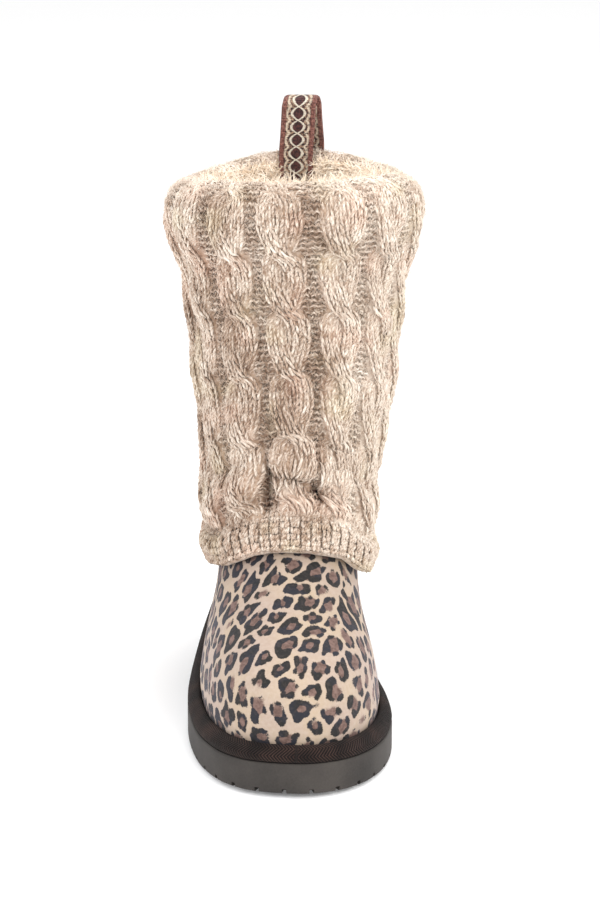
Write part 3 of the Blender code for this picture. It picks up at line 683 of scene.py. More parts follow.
def leopard(grid, normals):
    """How deep each point lies inside the dark and the brown of the print, in metres (negative is outside).
    Rosettes share out the ground between them, so that the pale gaps keep an even width."""
    rows = len(normals)
    points, facing = grid[:rows].reshape(-1, 3), normals.reshape(-1, 3)
    low = np.nonzero(points[:, 2] < PRINT_TOP)[0]
    tree = kdtree.KDTree(len(low))
    for i in low:
        tree.insert(points[i], int(i))
    tree.balance()
    big = low[scatter(points[low], ROSETTES_APART, 7)]
    small = low[scatter(points[low], SPOTS_APART, 11)]
    small = [i for i in small if np.min(np.linalg.norm(points[big] - points[i], axis=1)) > SPOT_TO_ROSETTE]
    first = np.full(len(points), 9.0)
    second, scale, ringed, hollowed = first.copy(), first * 0, first * 0 + OUTSIDE, first * 0 + OUTSIDE
    owner = np.zeros(len(points), int)
    rng = np.random.default_rng(41)
    for centre in [*big, *small]:
        rosette = centre in big
        normal = facing[centre]
        forward = unit(np.cross(normal, np.cross([0.0, -1.0, 0.25], normal)))
        side = np.cross(normal, forward)
        lean = rng.normal(-0.95 + 1.7 * float(smoothstep(0.004, 0.026, points[centre][0])), 0.28)
        long = forward * math.cos(lean) + side * math.sin(lean)
        size = rng.uniform(*(ROSETTE_SIZES if rosette else SPOT_SIZES))
        size *= 1 + 0.28 * float(smoothstep(0.010, 0.035, points[centre][0]))
        stretch = rng.uniform(1.25, 1.85)
        found = np.array([i for _, i, _ in tree.find_range(points[centre], size * stretch * 2.1)])
        away = points[found] - points[centre]
        x, y = away @ long / stretch, away @ np.cross(normal, long) * 1.12
        radius, angle = np.hypot(x, y), np.arctan2(y, x)
        lobes, phase = rng.integers(4, 7), rng.uniform(0, 6.28)
        scallop = np.abs(np.sin(lobes * angle / 2 + phase))
        outer = size * (0.84 + 0.24 * scallop + 0.09 * np.cos(2 * angle + rng.uniform(0, 6.28)))
        share = radius / outer
        depth = radius * 0 - OUTSIDE
        if rosette:
            hollow = size * rng.uniform(0.28, 0.44)
            depth = radius - hollow * (1.18 - 0.42 * scallop + 0.12 * np.cos(angle + rng.uniform(0, 6.28)))
            for cusp in rng.choice(lobes, rng.integers(0, 4), replace=False):
                turn = angle - (2 * math.pi * cusp - 2 * phase) / lobes
                turn = np.abs((turn + math.pi) % (2 * math.pi) - math.pi)
                depth = np.minimum(depth, (turn - rng.uniform(0.08, 0.24)) * radius)
        better = share < first[found]
        second[found] = np.where(better, first[found], np.minimum(second[found], share))
        chosen = found[better]
        first[chosen], owner[chosen] = share[better], centre
        scale[chosen], ringed[chosen] = outer[better], depth[better]
        hollowed[chosen] = (outer * 0.76 - radius)[better] if rosette else OUTSIDE
    inside = np.minimum((1 - first) * scale, (second - first) / 2 * scale - GAP / 2)
    inside[first > 8] = OUTSIDE
    deepest = np.full(len(points), -1.0)
    np.maximum.at(deepest, owner, inside)
    inside[deepest[owner] < SPECK] = OUTSIDE  # a rosette squeezed to a speck is left out
    dark, brown = np.minimum(inside, ringed), np.minimum(inside - 0.0006, hollowed)
    for sheet in (dark.reshape(rows, -1), brown.reshape(rows, -1)):
        sheet[:] = (2 * sheet + np.roll(sheet, 1, 1) + np.roll(sheet, -1, 1)) / 4
        sheet[1:-1] = (2 * sheet[1:-1] + sheet[:-2] + sheet[2:]) / 4
    pad = np.full(grid[rows:].size // 3, OUTSIDE)
    print(len(big), "rosettes and", len(small), "small spots")
    return np.concatenate([dark, pad]), np.concatenate([brown, pad])


suede = Finish("printed_suede", "printed_suede", roughness=0.92)
suede.set(sheen_weight=0.22, sheen_roughness=0.4, sheen_tint=paint(224, 220, 236))
fringe = suede.noise(1100, 3) * 0.0008 - 0.00040
dark_edge = (suede.attribute("dark") + fringe).step(-0.00020, 0.00010)
brown_edge = (suede.attribute("brown") + fringe * 2.0).step(-0.0006, 0.0006)
nap, cloud = suede.noise(520, 5), suede.noise(36, 2)
ground = suede.mix(cloud.step(0.35, 0.65), paint(172, 152, 137), paint(178, 158, 135))
ground = suede.mix(nap.step(0.3, 0.75) * 0.35, ground, paint(191, 175, 162))
middle = suede.mix(nap.step(0.3, 0.7), paint(92, 70, 62), paint(124, 99, 90))
ink = suede.mix(suede.noise(85, 2).step(0.42, 0.58), paint(28, 26, 23), paint(32, 33, 41))
ink = suede.mix(nap.step(0.42, 0.8) * 0.5, ink, paint(72, 62, 58))
suede.set(base_color=suede.mix(dark_edge, suede.mix(brown_edge, ground, middle), ink))
suede.bump(nap * 0.7 + suede.noise(2400, 3) * 0.5, 0.0005, 0.55)

dark_depth, brown_depth = leopard(upper_grid, upper_normals)
upper = grid_piece("suede_upper", upper_grid, suede, closed_rows=True, dark=dark_depth, brown=brown_depth)
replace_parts(upper, "upper")


def flat_size(grid):
    """Width and height of a closed grid of cloth, ring by ring: its mean way round and its mean way up."""
    about = np.linalg.norm(grid - np.roll(grid, 1, 1), axis=2).sum(1)
    up = np.linalg.norm(np.diff(grid, axis=0), axis=2).sum(0)
    return round(float(about.mean()), 3), round(float(up.mean()), 3)


suede_flat = flat_size(upper_grid[: len(upper_normals)])
print("suede, flat:", suede_flat)

# %% [markdown]
# ## Knitted sleeve
# The sleeve is a knitted tube, pulled over the shaft and turned in over the collar. A smooth grid first says
# where the cloth lies: up from the hem, over the rolled top and down inside. Everything knitted is then placed
# on that grid by how far round it is and how far up, so that stitches follow every bulge and fold.

# %% The sleeve's cloth
SLEEVE_COLUMNS = 616
OUT_ROWS, IN_ROWS = 230, 46
ROLL_STEPS, CREST_STEP = 24, 12
FOLD_IN = 0.004
STITCH_DEPTH = 0.002
CREASES = (
    # turn, up, half width (turn), half height, slope, depth
    (0.012, 0.0408, 0.036, 0.0036, -0.27, -0.0090), (0.012, 0.0404, 0.030, 0.0018, -0.27, -0.0045),
    (0.012, 0.0492, 0.034, 0.0042, -0.27, 0.0046), (0.058, 0.0360, 0.013, 0.0065, -0.20, -0.0062),
    (-0.040, 0.0400, 0.009, 0.0140, 0.00, -0.0080), (-0.020, 0.0290, 0.009, 0.0050, 0.00, -0.0055),
    (0.012, 0.0290, 0.034, 0.0080, -0.12, 0.0052), (0.000, 0.0560, 0.046, 0.0080, -0.20, 0.0034),
    (0.090, 0.0420, 0.034, 0.0100, 0.15, 0.0040), (-0.080, 0.0420, 0.028, 0.0100, 0.12, 0.0040),
    (-0.045, 0.0640, 0.025, 0.0045, 0.25, -0.0034), (0.070, 0.0610, 0.030, 0.0045, -0.15, -0.0030),
    (-0.130, 0.0540, 0.040, 0.0050, 0.10, -0.0026), (0.130, 0.0500, 0.045, 0.0050, -0.10, -0.0028),
    (0.180, 0.0360, 0.050, 0.0070, 0.10, 0.0026), (-0.190, 0.0350, 0.050, 0.0070, -0.10, 0.0026),
    (0.300, 0.0520, 0.060, 0.0055, 0.12, -0.0030), (0.420, 0.0440, 0.050, 0.0055, -0.15, -0.0032),
    (-0.360, 0.0480, 0.060, 0.0055, 0.10, -0.0030), (0.360, 0.0620, 0.060, 0.0080, -0.10, 0.0028),
    (-0.440, 0.0600, 0.050, 0.0080, 0.10, 0.0028),
)


def slouch(turn, up, narrow=1.0):
    """How far the cloth stands out or falls in: soft bunching above the hem, and listed creases."""
    x = (np.asarray(turn) + 0.5) % 1 - 0.5
    out = np.zeros(np.broadcast(turn, up).shape)
    for t0, u0, wide, tall, slope, depth in CREASES:
        a = (x - t0) / wide
        b = (up - u0 - slope * (x - t0) * 0.36) / (tall * narrow)
        out = out + depth * np.exp(-a * a - b * b)
    swell = Speckle(3, 9, 9)(turn, up / 0.21)
    return out + 0.0009 * swell * smoothstep(0.0, 0.03, up)


def pressed(turn, up):
    """1 on open cloth, and near 0 deep in a crease, where the cables are pressed flat."""
    return 1 - 0.9 * smoothstep(0.0020, 0.0065, -slouch(turn, up))


def sleeve_cloth():
    turn = even_turns(SLEEVE_COLUMNS)
    line = np.array(HEM_LINE)
    hem_z = float(seat(0.0)) + INSTEP_RISE * np.interp(turn, line[:, 0], line[:, 1])
    hem = level_at(turn, hem_z)
    climb = np.linspace(0, 1, 60)
    levels = hem[:, None] + (TOP_ROW - hem[:, None]) * climb
    points, normals = last_grid(turn, levels)
    outward = KNIT_EASE + KNIT_WALL - STITCH_DEPTH
    flare = 0.25 + 0.85 * smoothstep(0, 0.09, climb) - 1.10 * smoothstep(0.10, 0.17, climb)
    flare = flare * (0.30 + 0.70 * np.abs(np.sin(2 * math.pi * turn[:, None])))
    stand = outward * (1 + flare) + ROLL_BULGE * smoothstep(0.86, 0.985, climb)
    outer = points + normals * stand[..., None]
    collar, collar_normal = points[:, -1], normals[:, -1]
    inward = UPPER_WALL + KNIT_EASE + FOLD_WALL
    out_edge = outward + ROLL_BULGE
    middle, reach = (out_edge - inward) / 2, (out_edge + inward) / 2
    raised = np.interp(turn, *np.array(RIM_LINE).T)
    outer[..., 2] += raised[:, None] * smoothstep(0.80, 1.0, climb)
    roll = []
    for angle in np.linspace(0, math.pi, ROLL_STEPS + 1)[1:]:
        lift = (KNIT_EASE + ROLL_CROWN + 0.0012) * math.sin(angle) ** 0.85
        roll.append(collar + collar_normal * (middle + reach * math.cos(angle)) + [0, 0, lift])
    roll = np.array(roll).transpose(1, 0, 2)
    roll[..., 2] += raised[:, None]
    downs = np.linspace(0.001, FOLD_IN, 12)
    inner_levels = np.stack([level_at(turn, collar[:, 2] - d) for d in downs], 1)
    inner, inner_normals = last_grid(turn, inner_levels)
    inner = inner - inner_normals * inward
    inner[..., 2] += raised[:, None]
    up_side = np.concatenate([outer, roll[:, :CREST_STEP]], 1)
    down_side = np.concatenate([roll[:, CREST_STEP - 1 :], inner], 1)

    def evened_side(side, rows):
        lines = [evened(line, rows) for line in side]
        return np.array([points for points, _ in lines]), np.mean([length for _, length in lines])

    up_side, up_length = evened_side(up_side, OUT_ROWS)
    down_side, down_length = evened_side(down_side, IN_ROWS)
    cloth = np.concatenate([up_side, down_side[:, 1:]], 1)
    up = np.concatenate([np.linspace(0, up_length, OUT_ROWS), up_length + np.linspace(0, down_length, IN_ROWS)[1:]])
    for _ in range(3):
        cloth[:, 1:-1] = (cloth[:, :-2] + 2 * cloth[:, 1:-1] + cloth[:, 2:]) / 4

    def normals_of(grid):
        return unit(np.cross(np.roll(grid, -1, 0) - np.roll(grid, 1, 0), np.gradient(grid, axis=1)))

    cloth = cloth + normals_of(cloth) * slouch(turn[:, None], up[None, :])[..., None]
    return cloth, normals_of(cloth), up, up_length


CLOTH, CLOTH_NORMAL, CLOTH_UP, CREST = sleeve_cloth()
SLEEVE_LENGTH = CLOTH_UP[-1]
print("sleeve: hem to crest", round(CREST, 4), "whole length", round(SLEEVE_LENGTH, 4))


def on_sleeve(turn, up):
    """Point and normal of the cloth at turns and heights of any one shape."""
    turn, up = np.broadcast_arrays(np.asarray(turn, float) % 1, up)
    x = turn * SLEEVE_COLUMNS
    y = np.interp(up, CLOTH_UP, np.arange(len(CLOTH_UP)))
    i, j = x.astype(int), np.minimum(y.astype(int), len(CLOTH_UP) - 2)
    s, t = (x - i)[..., None], (y - j)[..., None]
    point, normal = (
        between_corners(lambda right, above: grid[(i + right) % SLEEVE_COLUMNS, j + above], s, t)
        for grid in (CLOTH, CLOTH_NORMAL)
    )
    return point, unit(normal)


# %% [markdown]
# A rope cable is two strands of three stitches that cross over and over, always left over right. They open
# slowly above a crossing and close quickly below the next. One function gives the place of a strand across the
# cable and how far it stands out, and the cloth's relief and every stitch are read from it.

# %% Cable paths
HEM_BAND = 0.0185
ROWS_PER_REPEAT = 10
ROW = CABLE_REPEAT / ROWS_PER_REPEAT
# The middle of each cable, counted from the front one: its turn, and how it drifts on its way up.
CABLE_PLACES = np.array([-2, -1, 0, 1, 2, 3, 4, 12])
CABLE_TURNS = np.array([-0.169, -0.0895, -0.010, 0.070, 0.146, 0.222, 0.290, 0.831])
CABLE_DRIFTS = np.array([0, 0, -0.19, -0.08, -0.20, -0.10, 0, 0])
CABLE_STARTS = np.random.default_rng(5).uniform(-0.07, 0.07, CABLE_COUNT)
FIRST_CROSSING, DRIFT_FROM = 0.1055, 0.12  # up the sleeve
STRAND_HEIGHT, STRAND_CROSS = 0.0034, 0.0011


def cable_turn(place, up):
    """The turn at a place counted in cables from the front one."""
    place = (np.asarray(place) + 2) % CABLE_COUNT - 2
    drift = np.interp(place, CABLE_PLACES, CABLE_DRIFTS)
    return np.interp(place, CABLE_PLACES, CABLE_TURNS) + drift * (np.asarray(up) - DRIFT_FROM)


def cable_place(turn, up):
    """The place, counted in cables, at a turn: cable_turn the other way round."""
    turn, up = np.broadcast_arrays(turn, up)
    turn = (turn - CABLE_TURNS[0]) % 1 + CABLE_TURNS[0]
    knots = CABLE_TURNS + CABLE_DRIFTS * (up[..., None] - DRIFT_FROM)
    low = (turn[..., None] >= knots[..., 1:-1]).sum(-1)
    before = np.take_along_axis(knots, low[..., None], -1)[..., 0]
    after = np.take_along_axis(knots, low[..., None] + 1, -1)[..., 0]
    share = (turn - before) / (after - before)
    return CABLE_PLACES[low] * (1 - share) + CABLE_PLACES[low + 1] * share


def cable_half(up):
    """Half a cable's width, as a share of the distance between cables: it grows where the sleeve narrows."""
    return np.interp(up, [0.03, 0.12, 0.20], [0.45, 0.42, 0.385])


def crossing(t):
    """Sideways swing of a strand, from -1 to 1, at t repeats: each length between crossings has a leaf's shape."""
    part = t % 1
    opening = np.sin(np.clip(part / 0.62, 0, 1) * math.pi / 2)
    swing = opening * np.sqrt(1 - np.clip((part - 0.72) / 0.28, 0, 1) ** 2)
    return np.where(np.floor(t) % 2 == 0, swing, -swing)


def strand(t, which):
    """(centre across the cable, height) of a strand: which is 0 or 1."""
    return -0.5 * crossing(t + which), np.cos(math.pi * (t + which))


def cable_time(cable, up):
    return (up - FIRST_CROSSING) / CABLE_REPEAT + CABLE_STARTS[cable % CABLE_COUNT]


def cable_width(t):
    """Half width of the cable, 1 at its widest and less where it crosses."""
    return 0.54 + 0.46 * np.abs(crossing(t))


def strand_width(t):
    """Width of one strand, 1 where the two lie side by side and more where they cross."""
    return 1.10 - 0.10 * np.abs(crossing(t))


def flatten(up):
    """Cables rise above the ribbed hem, and lie nearly flat over the roll and inside."""
    above_hem = smoothstep(HEM_BAND - 0.003, HEM_BAND + 0.008, up)
    return above_hem * (1 - 0.92 * smoothstep(CREST - 0.026, CREST - 0.008, up))


def dome(across):
    return np.sqrt(np.clip(1 - across * across, 0, 1))


def cable_relief(turn, up):
    """Height of the cloth itself, under the stitches."""
    place = cable_place(turn, up)
    cable = np.round(place).astype(int)
    across = (place - cable) / cable_half(up)
    t = cable_time(cable, up)
    best = np.zeros(across.shape)
    for which in (0, 1):
        centre, height = strand(t, which)
        body = dome((across - centre) / (0.55 * strand_width(t))) * (STRAND_HEIGHT + STRAND_CROSS * height)
        best = np.maximum(best, body)
    return best * flatten(up) * pressed(turn, up)


# %% Knit ground
yarn = Finish("marled_yarn", "marled_yarn", roughness=0.95)
yarn.set(sheen_weight=0.35, sheen_roughness=0.6, sheen_tint=paint(255, 248, 238))
# tone holds the yarn's marl together with painted light and painted shade
tone, hue = yarn.attribute("tone"), yarn.attribute("hue")
plies = ((yarn.attribute("around") * 3 + yarn.attribute("along") * 520) * TAU).math("SINE")
fleck, mottle = yarn.noise(520, 3), yarn.noise(150, 3)
depth = (tone + (fleck - 0.5) * 0.75 + (mottle - 0.5) * 0.40 + plies * 0.12).clamp()


def marl(*colours):
    """Dark to pale through five yarn colours."""
    return yarn.ramp(depth, *zip((0.0, 0.25, 0.50, 0.75, 1.0), (paint(*c) for c in colours)))


plain = marl((116, 87, 66), (171, 144, 122), (207, 188, 171), (233, 219, 203), (249, 241, 230))
pink = marl((126, 86, 68), (186, 146, 124), (216, 184, 162), (236, 212, 194), (249, 236, 224))
olive = marl((108, 92, 62), (168, 150, 112), (206, 190, 152), (230, 218, 190), (247, 240, 222))
blushed = yarn.mix(hue.step(0.2, 0.9) * 0.45, plain, pink)
yarn.set(base_color=yarn.mix((hue * -1.0).step(0.2, 0.9) * 0.35, blushed, olive))
yarn.bump(plies * 0.5 + fleck * 0.8 + yarn.noise(1700, 3) * 0.4, 0.0006, 0.5)

MARL = Speckle(17, 70, 58)
PATCH = Speckle(23, 19, 13)
HUE = Speckle(29, 27, 18)


def marl_and_painted_light(turn, up, recess_shade=0.0):
    """Where the yarn runs pale or dark: along its courses and in patches as marl, and with painted light and shade.
    Painted shade darkens the folds, and by the last argument the channels and the ground between stitches; the hem
    band is darker, most at the front. Painted light makes the inner side of the foot, on the right where the key
    lamp falls, paler and more even, and a painted highlight lies on the top of the roll."""
    rise = up / SLEEVE_LENGTH
    x = (turn + 0.5) % 1 - 0.5
    # Painted light on the right side, lit by the key lamp, fading out towards the back and by half on the roll
    ahead = 1 - smoothstep(0.26, 0.48, np.abs(x))
    right = smoothstep(0.03, 0.10, x) * ahead * (1 - 0.5 * smoothstep(CREST - 0.010, CREST + 0.004, up))
    band = smoothstep(-HEM_BAND, -0.6 * HEM_BAND, -up)
    # Painted light: paler on the right, a little darker on the left
    side = right * 0.14 - smoothstep(0.03, 0.12, -x) * 0.03 * ahead
    # Painted shade in the creases; the hem band darker, most at the front
    crease_shade_and_dark_hem = 60 * np.clip(slouch(turn, up, 0.9), -0.008, 0) - 0.05 * band * (2 - smoothstep(0.04, 0.10, np.abs(x)))
    # Marl patches, less contrasted where the painted light falls on the right
    speckled = (0.12 * MARL(turn, rise) + 0.15 * PATCH(turn, rise)) * (1 - 0.5 * right)
    # Painted highlight on the top of the roll
    crest = 0.16 * smoothstep(CREST - 0.012, CREST, up)
    # The last argument adds painted shade in the channels and gaps, less on the lit right side and on the hem band
    return 0.447 + speckled + side + crease_shade_and_dark_hem + crest - recess_shade * (1 - np.maximum(0.65 * right, 0.9 * band))


CLOTH_THICKNESS = 0.0030


def knit_ground():
    turn = even_turns(400)
    up = np.linspace(0, SLEEVE_LENGTH, 122)
    point, normal = on_sleeve(turn[None, :], up[:, None])
    lift = cable_relief(turn[None, :], up[:, None]) - 0.0002
    face = point + normal * lift[..., None]
    back_rows = np.linspace(SLEEVE_LENGTH, 0, 8)
    back, back_normal = on_sleeve(turn[None, :], back_rows[:, None])
    grid = np.concatenate([face, back - back_normal * CLOTH_THICKNESS])
    heights = np.concatenate([up, back_rows])[:, None]
    hue = np.broadcast_to(HUE(turn[None, :], heights / SLEEVE_LENGTH), grid.shape[:2])
    return grid_piece(
        "knit_ground", grid, yarn, closed_rows=True,
        # 0.17: painted shade on the ground that shows between the stitches
        tone=marl_and_painted_light(turn[None, :], heights, 0.17), hue=hue, around=0 * hue, along=0 * hue,
    )


ground_piece = knit_ground()
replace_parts(ground_piece, "knit_cuff")

# %% [markdown]
# Each stitch shows as two slanting strokes of yarn. A stroke is a short tube with tapered ends, 30 triangles,
# laid along a path on the cloth. Thousands are made at once with arrays, because placing them by hand would
# take days, and a bump map alone would leave the knit's outline flat.

# %% Yarn strokes
SIDES = 5
PROFILE = np.array([0.78, 1.0, 0.82])
TUBE_POINTS = 2 + SIDES * len(PROFILE)
STROKE_LENGTH = 0.0052
SHIFT, SKEW, RISE, STAND = 0.0006, 0.0013, 0.00045, 0.00018  # how unevenly the stitches lie


def tubes(line, normal, radius):
    """Points and faces of short tapered tubes, one along each row of five points in line."""
    ahead = unit(np.gradient(line, axis=1))
    side = unit(np.cross(ahead, normal))
    over = np.cross(side, ahead)
    angle = even_turns(SIDES) * 2 * math.pi - math.pi / 2
    rim = side[:, 1:4, None] * np.cos(angle)[:, None] + over[:, 1:4, None] * np.sin(angle)[:, None] * 0.85
    rings = line[:, 1:4, None] + rim * (PROFILE * np.asarray(radius).reshape(-1, 1))[..., None, None]
    points = np.concatenate([line[:, :1], rings.reshape(len(line), -1, 3), line[:, 4:]], 1)
    one, last, tip = [], 1 + 2 * SIDES, TUBE_POINTS - 1
    for k in range(SIDES):
        j = (k + 1) % SIDES
        one += [(0, 1 + j, 1 + k), (last + k, last + j, tip)]
        for r in (1, 1 + SIDES):
            one += [(r + k, r + j, r + SIDES + j), (r + k, r + SIDES + j, r + SIDES + k)]
    faces = np.array(one)[None] + np.arange(len(line))[:, None, None] * TUBE_POINTS
    return points.reshape(-1, 3), faces.reshape(-1, 3)


def yarn_strokes(name, strokes, radius, seed, recess_shade=0.0):
    """Strokes of yarn on the cloth: each gives turn, up and lift at five stations."""
    turn, up, lift = np.array(strokes).transpose(1, 0, 2)
    rng = np.random.default_rng(seed)
    count = len(turn)
    turn = turn + rng.normal(0, SHIFT, (count, 1)) + rng.normal(0, SKEW, (count, 1)) * np.linspace(-0.5, 0.5, 5)
    up = np.maximum(up + rng.normal(0, RISE, (count, 1)), 0.0001)
    lift = lift * pressed(turn, up) + rng.normal(0, STAND, (count, 1))
    point, normal = on_sleeve(turn, up)
    points, faces = tubes(point + normal * lift[..., None], normal, radius * rng.normal(1, 0.12, count))
    tone = marl_and_painted_light(turn[:, 2], up[:, 2], recess_shade) + rng.normal(0, 0.10, count)
    along = np.concatenate([[0], np.repeat([0.25, 0.5, 0.75], SIDES), [1.0]])[None] * STROKE_LENGTH
    along = along + rng.uniform(0, 1, (count, 1))
    around = np.concatenate([[0], np.tile(even_turns(SIDES), 3), [0]])[None].repeat(count, 0)
    tone, hue = (np.repeat(values, TUBE_POINTS) for values in (tone, HUE(turn[:, 2], up[:, 2] / SLEEVE_LENGTH)))
    return new_piece(name, points, faces, yarn, tone=tone, hue=hue, around=around, along=along)


SWAY = np.array([0.0, 0.25, 0.5, 0.75, 1.0])
DUCK = np.array([-0.0009, 0.0001, 0.0003, 0.0001, -0.0007])
CABLE_YARN, PURL_YARN, HEM_YARN = 0.00088, 0.00070, 0.00094  # radii


def cable_strokes(cables, name, seed):
    strokes = []
    first, last = math.ceil(HEM_BAND / ROW), int((SLEEVE_LENGTH - 0.004) / ROW)
    for cable in cables:
        for row in range(first, last):
            up = (row + SWAY * 1.9) * ROW
            t = cable_time(cable, up)
            for which in (0, 1):
                centre, height = strand(t, which)
                other, _ = strand(t, 1 - which)
                for stitch in (-1, 0, 1):
                    for side in (-1, 1):
                        offset = stitch * 0.322 + side * (0.035 + 0.105 * SWAY)
                        across = centre + offset * strand_width(t)
                        if height[2] < -0.1 and abs(across[2] - other[2]) < 0.44 * strand_width(t)[2]:
                            continue
                        bow = dome(np.clip(offset / 0.60, -1, 1))
                        turn = cable_turn(cable + across * cable_half(up), up)
                        strokes.append((turn, up, (bow * 0.0036 - 0.0002 + 0.0015 * height) * flatten(up) + DUCK))
    return yarn_strokes(name, strokes, CABLE_YARN, seed)


stitches = [
    cable_strokes(range(0, 5), "cables_inner_side", 101),
    cable_strokes(range(5, 9), "cables_back", 103),
    cable_strokes(range(9, 14), "cables_outer_side", 105),
]

# %% [markdown]
# Between the cables the knit shows its back: each row is a wavy line of small arcs, one bending up and the next
# down. They spread where the cables draw in.


# %% Purl channels
def purl_strokes(cables, name, seed):
    strokes = []
    bend = np.array([-0.5, -0.27, 0.0, 0.27, 0.5])
    arch = 1 - (2 * bend) ** 2
    first, last = math.ceil(HEM_BAND / ROW), int((SLEEVE_LENGTH - 0.003) / ROW)
    for cable in cables:
        for row in range(first, last):
            for kind, stitches in ((0, (0, 1, 2)), (1, (-0.5, 0.5, 1.5, 2.5))):
                base = (row + 0.5 * kind) * ROW
                left = cable_half(base) * cable_width(cable_time(cable, base)) * 0.97
                right = 1 - cable_half(base) * cable_width(cable_time(cable + 1, base)) * 0.97
                up = base + (arch - 0.5) * 0.0028 * (1 - 2 * kind)
                for stitch in stitches:
                    share = (stitch + 0.5 + bend * 1.10) / 3
                    turn = cable_turn(cable + left + (right - left) * share, base)
                    strokes.append((turn, up, 0.0002 + 0.0011 * arch - 0.0004 * kind))
    # 0.10: painted shade on the purl rows down in the channels
    return yarn_strokes(name, strokes, PURL_YARN, seed, 0.10)


stitches += [purl_strokes(range(7), "purl_channels_inner", 201), purl_strokes(range(7, 14), "purl_channels_outer", 203)]


# %% Ribbed hem
def rib_strokes(name, seed):
    """Two columns of stitches on each rib, a bar between ribs, and the edge that was cast on."""
    strokes, ribs = [], 4 * CABLE_COUNT
    bar, bar_lift = np.array([-0.24, -0.12, 0, 0.12, 0.24]), np.array([0.0, -0.0003, -0.0004, -0.0003, 0.0])
    edge_up, edge_lift = 0.0008 + np.array([0.0014, 0.0003, 0.0, 0.0003, 0.0014]), 0.0006 + DUCK * 0.6
    for rib in range(ribs):
        for row in range(-1, int(HEM_BAND / ROW) + 1):
            for column in (0.31, 0.69):
                for side in (-1, 1):
                    turn = (rib + column + side * (0.02 + 0.12 * SWAY**0.8)) / ribs
                    strokes.append((turn, (row + 0.4 + SWAY * 1.5) * ROW, 0.0010 + DUCK))
            strokes.append(((rib + 1 + bar) / ribs, (row + 0.7) * ROW + np.zeros(5), bar_lift))
    strokes += [((k + np.linspace(-0.75, 0.75, 5)) / (3 * ribs), edge_up, edge_lift) for k in range(3 * ribs)]
    return yarn_strokes(name, strokes, HEM_YARN, seed)


stitches.append(rib_strokes("ribbed_hem", 301))

# %% [markdown]
# Wool yarn is hairy, and its loose fibres blur the outline of the knit. Each fibre is a long thin pyramid of
# four triangles that starts on the yarn and leans out of it.


# %% Loose fibres
def fibres(name, start, normal, reach, lean, thick, finish, seed, **attributes):
    """Thin pyramids from start, leaning off the surface by lean (0 lies flat, 1 stands up)."""
    rng = np.random.default_rng(seed)
    count = len(start)
    free = unit(rng.normal(0, 1, (count, 3)))
    flat = unit(free - normal * (free * normal).sum(1, keepdims=True))
    ahead = unit(flat + normal * lean)
    side = unit(np.cross(ahead, normal))
    over = np.cross(side, ahead)
    size = thick * rng.uniform(0.7, 1.2, (count, 1))
    length = reach * rng.uniform(0.5, 1.3, (count, 1))
    foot = [start + (side * math.cos(a) + over * math.sin(a)) * size for a in (0.0, 2.094, 4.189)]
    points = np.stack([*foot, start + ahead * length], 1).reshape(-1, 3)
    faces = np.array([(0, 2, 1), (0, 1, 3), (1, 2, 3), (2, 0, 3)])[None] + np.arange(count)[:, None, None] * 4
    attributes = {label: np.repeat(values, 4) for label, values in attributes.items()}
    return new_piece(name, points, faces.reshape(-1, 3), finish, smooth=False, **attributes)


FUZZ_LENGTH, FUZZ_THICK = 0.0045, 0.00011


def knit_fuzz(count, seed):
    rng = np.random.default_rng(seed)
    turn = rng.uniform(0, 1, count)
    crested = rng.uniform(0, 1, count) < 0.14
    at_crest, anywhere = rng.normal(CREST - 0.004, 0.005, count), rng.uniform(0.0005, SLEEVE_LENGTH, count)
    up = np.clip(np.where(crested, at_crest, anywhere), 0.0005, SLEEVE_LENGTH - 0.001)
    point, normal = on_sleeve(turn, up)
    start = point + normal * (cable_relief(turn, up) + 0.0012)[:, None]
    lean = rng.uniform(0.05, 0.7, (count, 1))
    zero = np.zeros(count)
    return fibres(
        "knit_fuzz", start, normal, FUZZ_LENGTH, lean, FUZZ_THICK, yarn, seed + 1,
        tone=marl_and_painted_light(turn, up) + 0.2, hue=HUE(turn, up / SLEEVE_LENGTH), around=zero, along=zero,
    )


stitches.append(knit_fuzz(15000, 401))
knit_flat = flat_size(CLOTH.transpose(1, 0, 2))
print("knitted sleeve, flat:", knit_flat)

# %% [markdown]
# ## Fleece lining and insole
# The boot is lined with cream fleece, which puffs up under the turned-in knit. The lining is a lumpy wall
# against the suede's inside, thin behind the turned-in knit, and fine pile stands off it near the opening.

# %% Fleece
fleece = Finish("cream_fleece", "cream_pile", roughness=1.0)
fleece.set(sheen_weight=0.5, sheen_roughness=0.6, sheen_tint=paint(255, 250, 240))
curl, clump = fleece.noise(480, 4), fleece.noise(130, 3)
creams = ((0.32, paint(238, 216, 190)), (0.5, paint(250, 234, 214)), (0.68, paint(255, 245, 231)))
fleece.set(base_color=fleece.ramp(curl * 0.5 + clump * 0.5, *creams))
fleece.bump(curl * 0.8 + fleece.noise(1500, 3) * 0.5, 0.0012, 0.8)

LUMP, TUFT = Speckle(51, 46, 38), Speckle(53, 120, 100)
THIN, PUFFED = 0.0020, 0.0064


def lumpy(turn, rise, large, small):
    return large * LUMP(turn, rise) + small * TUFT(turn, rise)


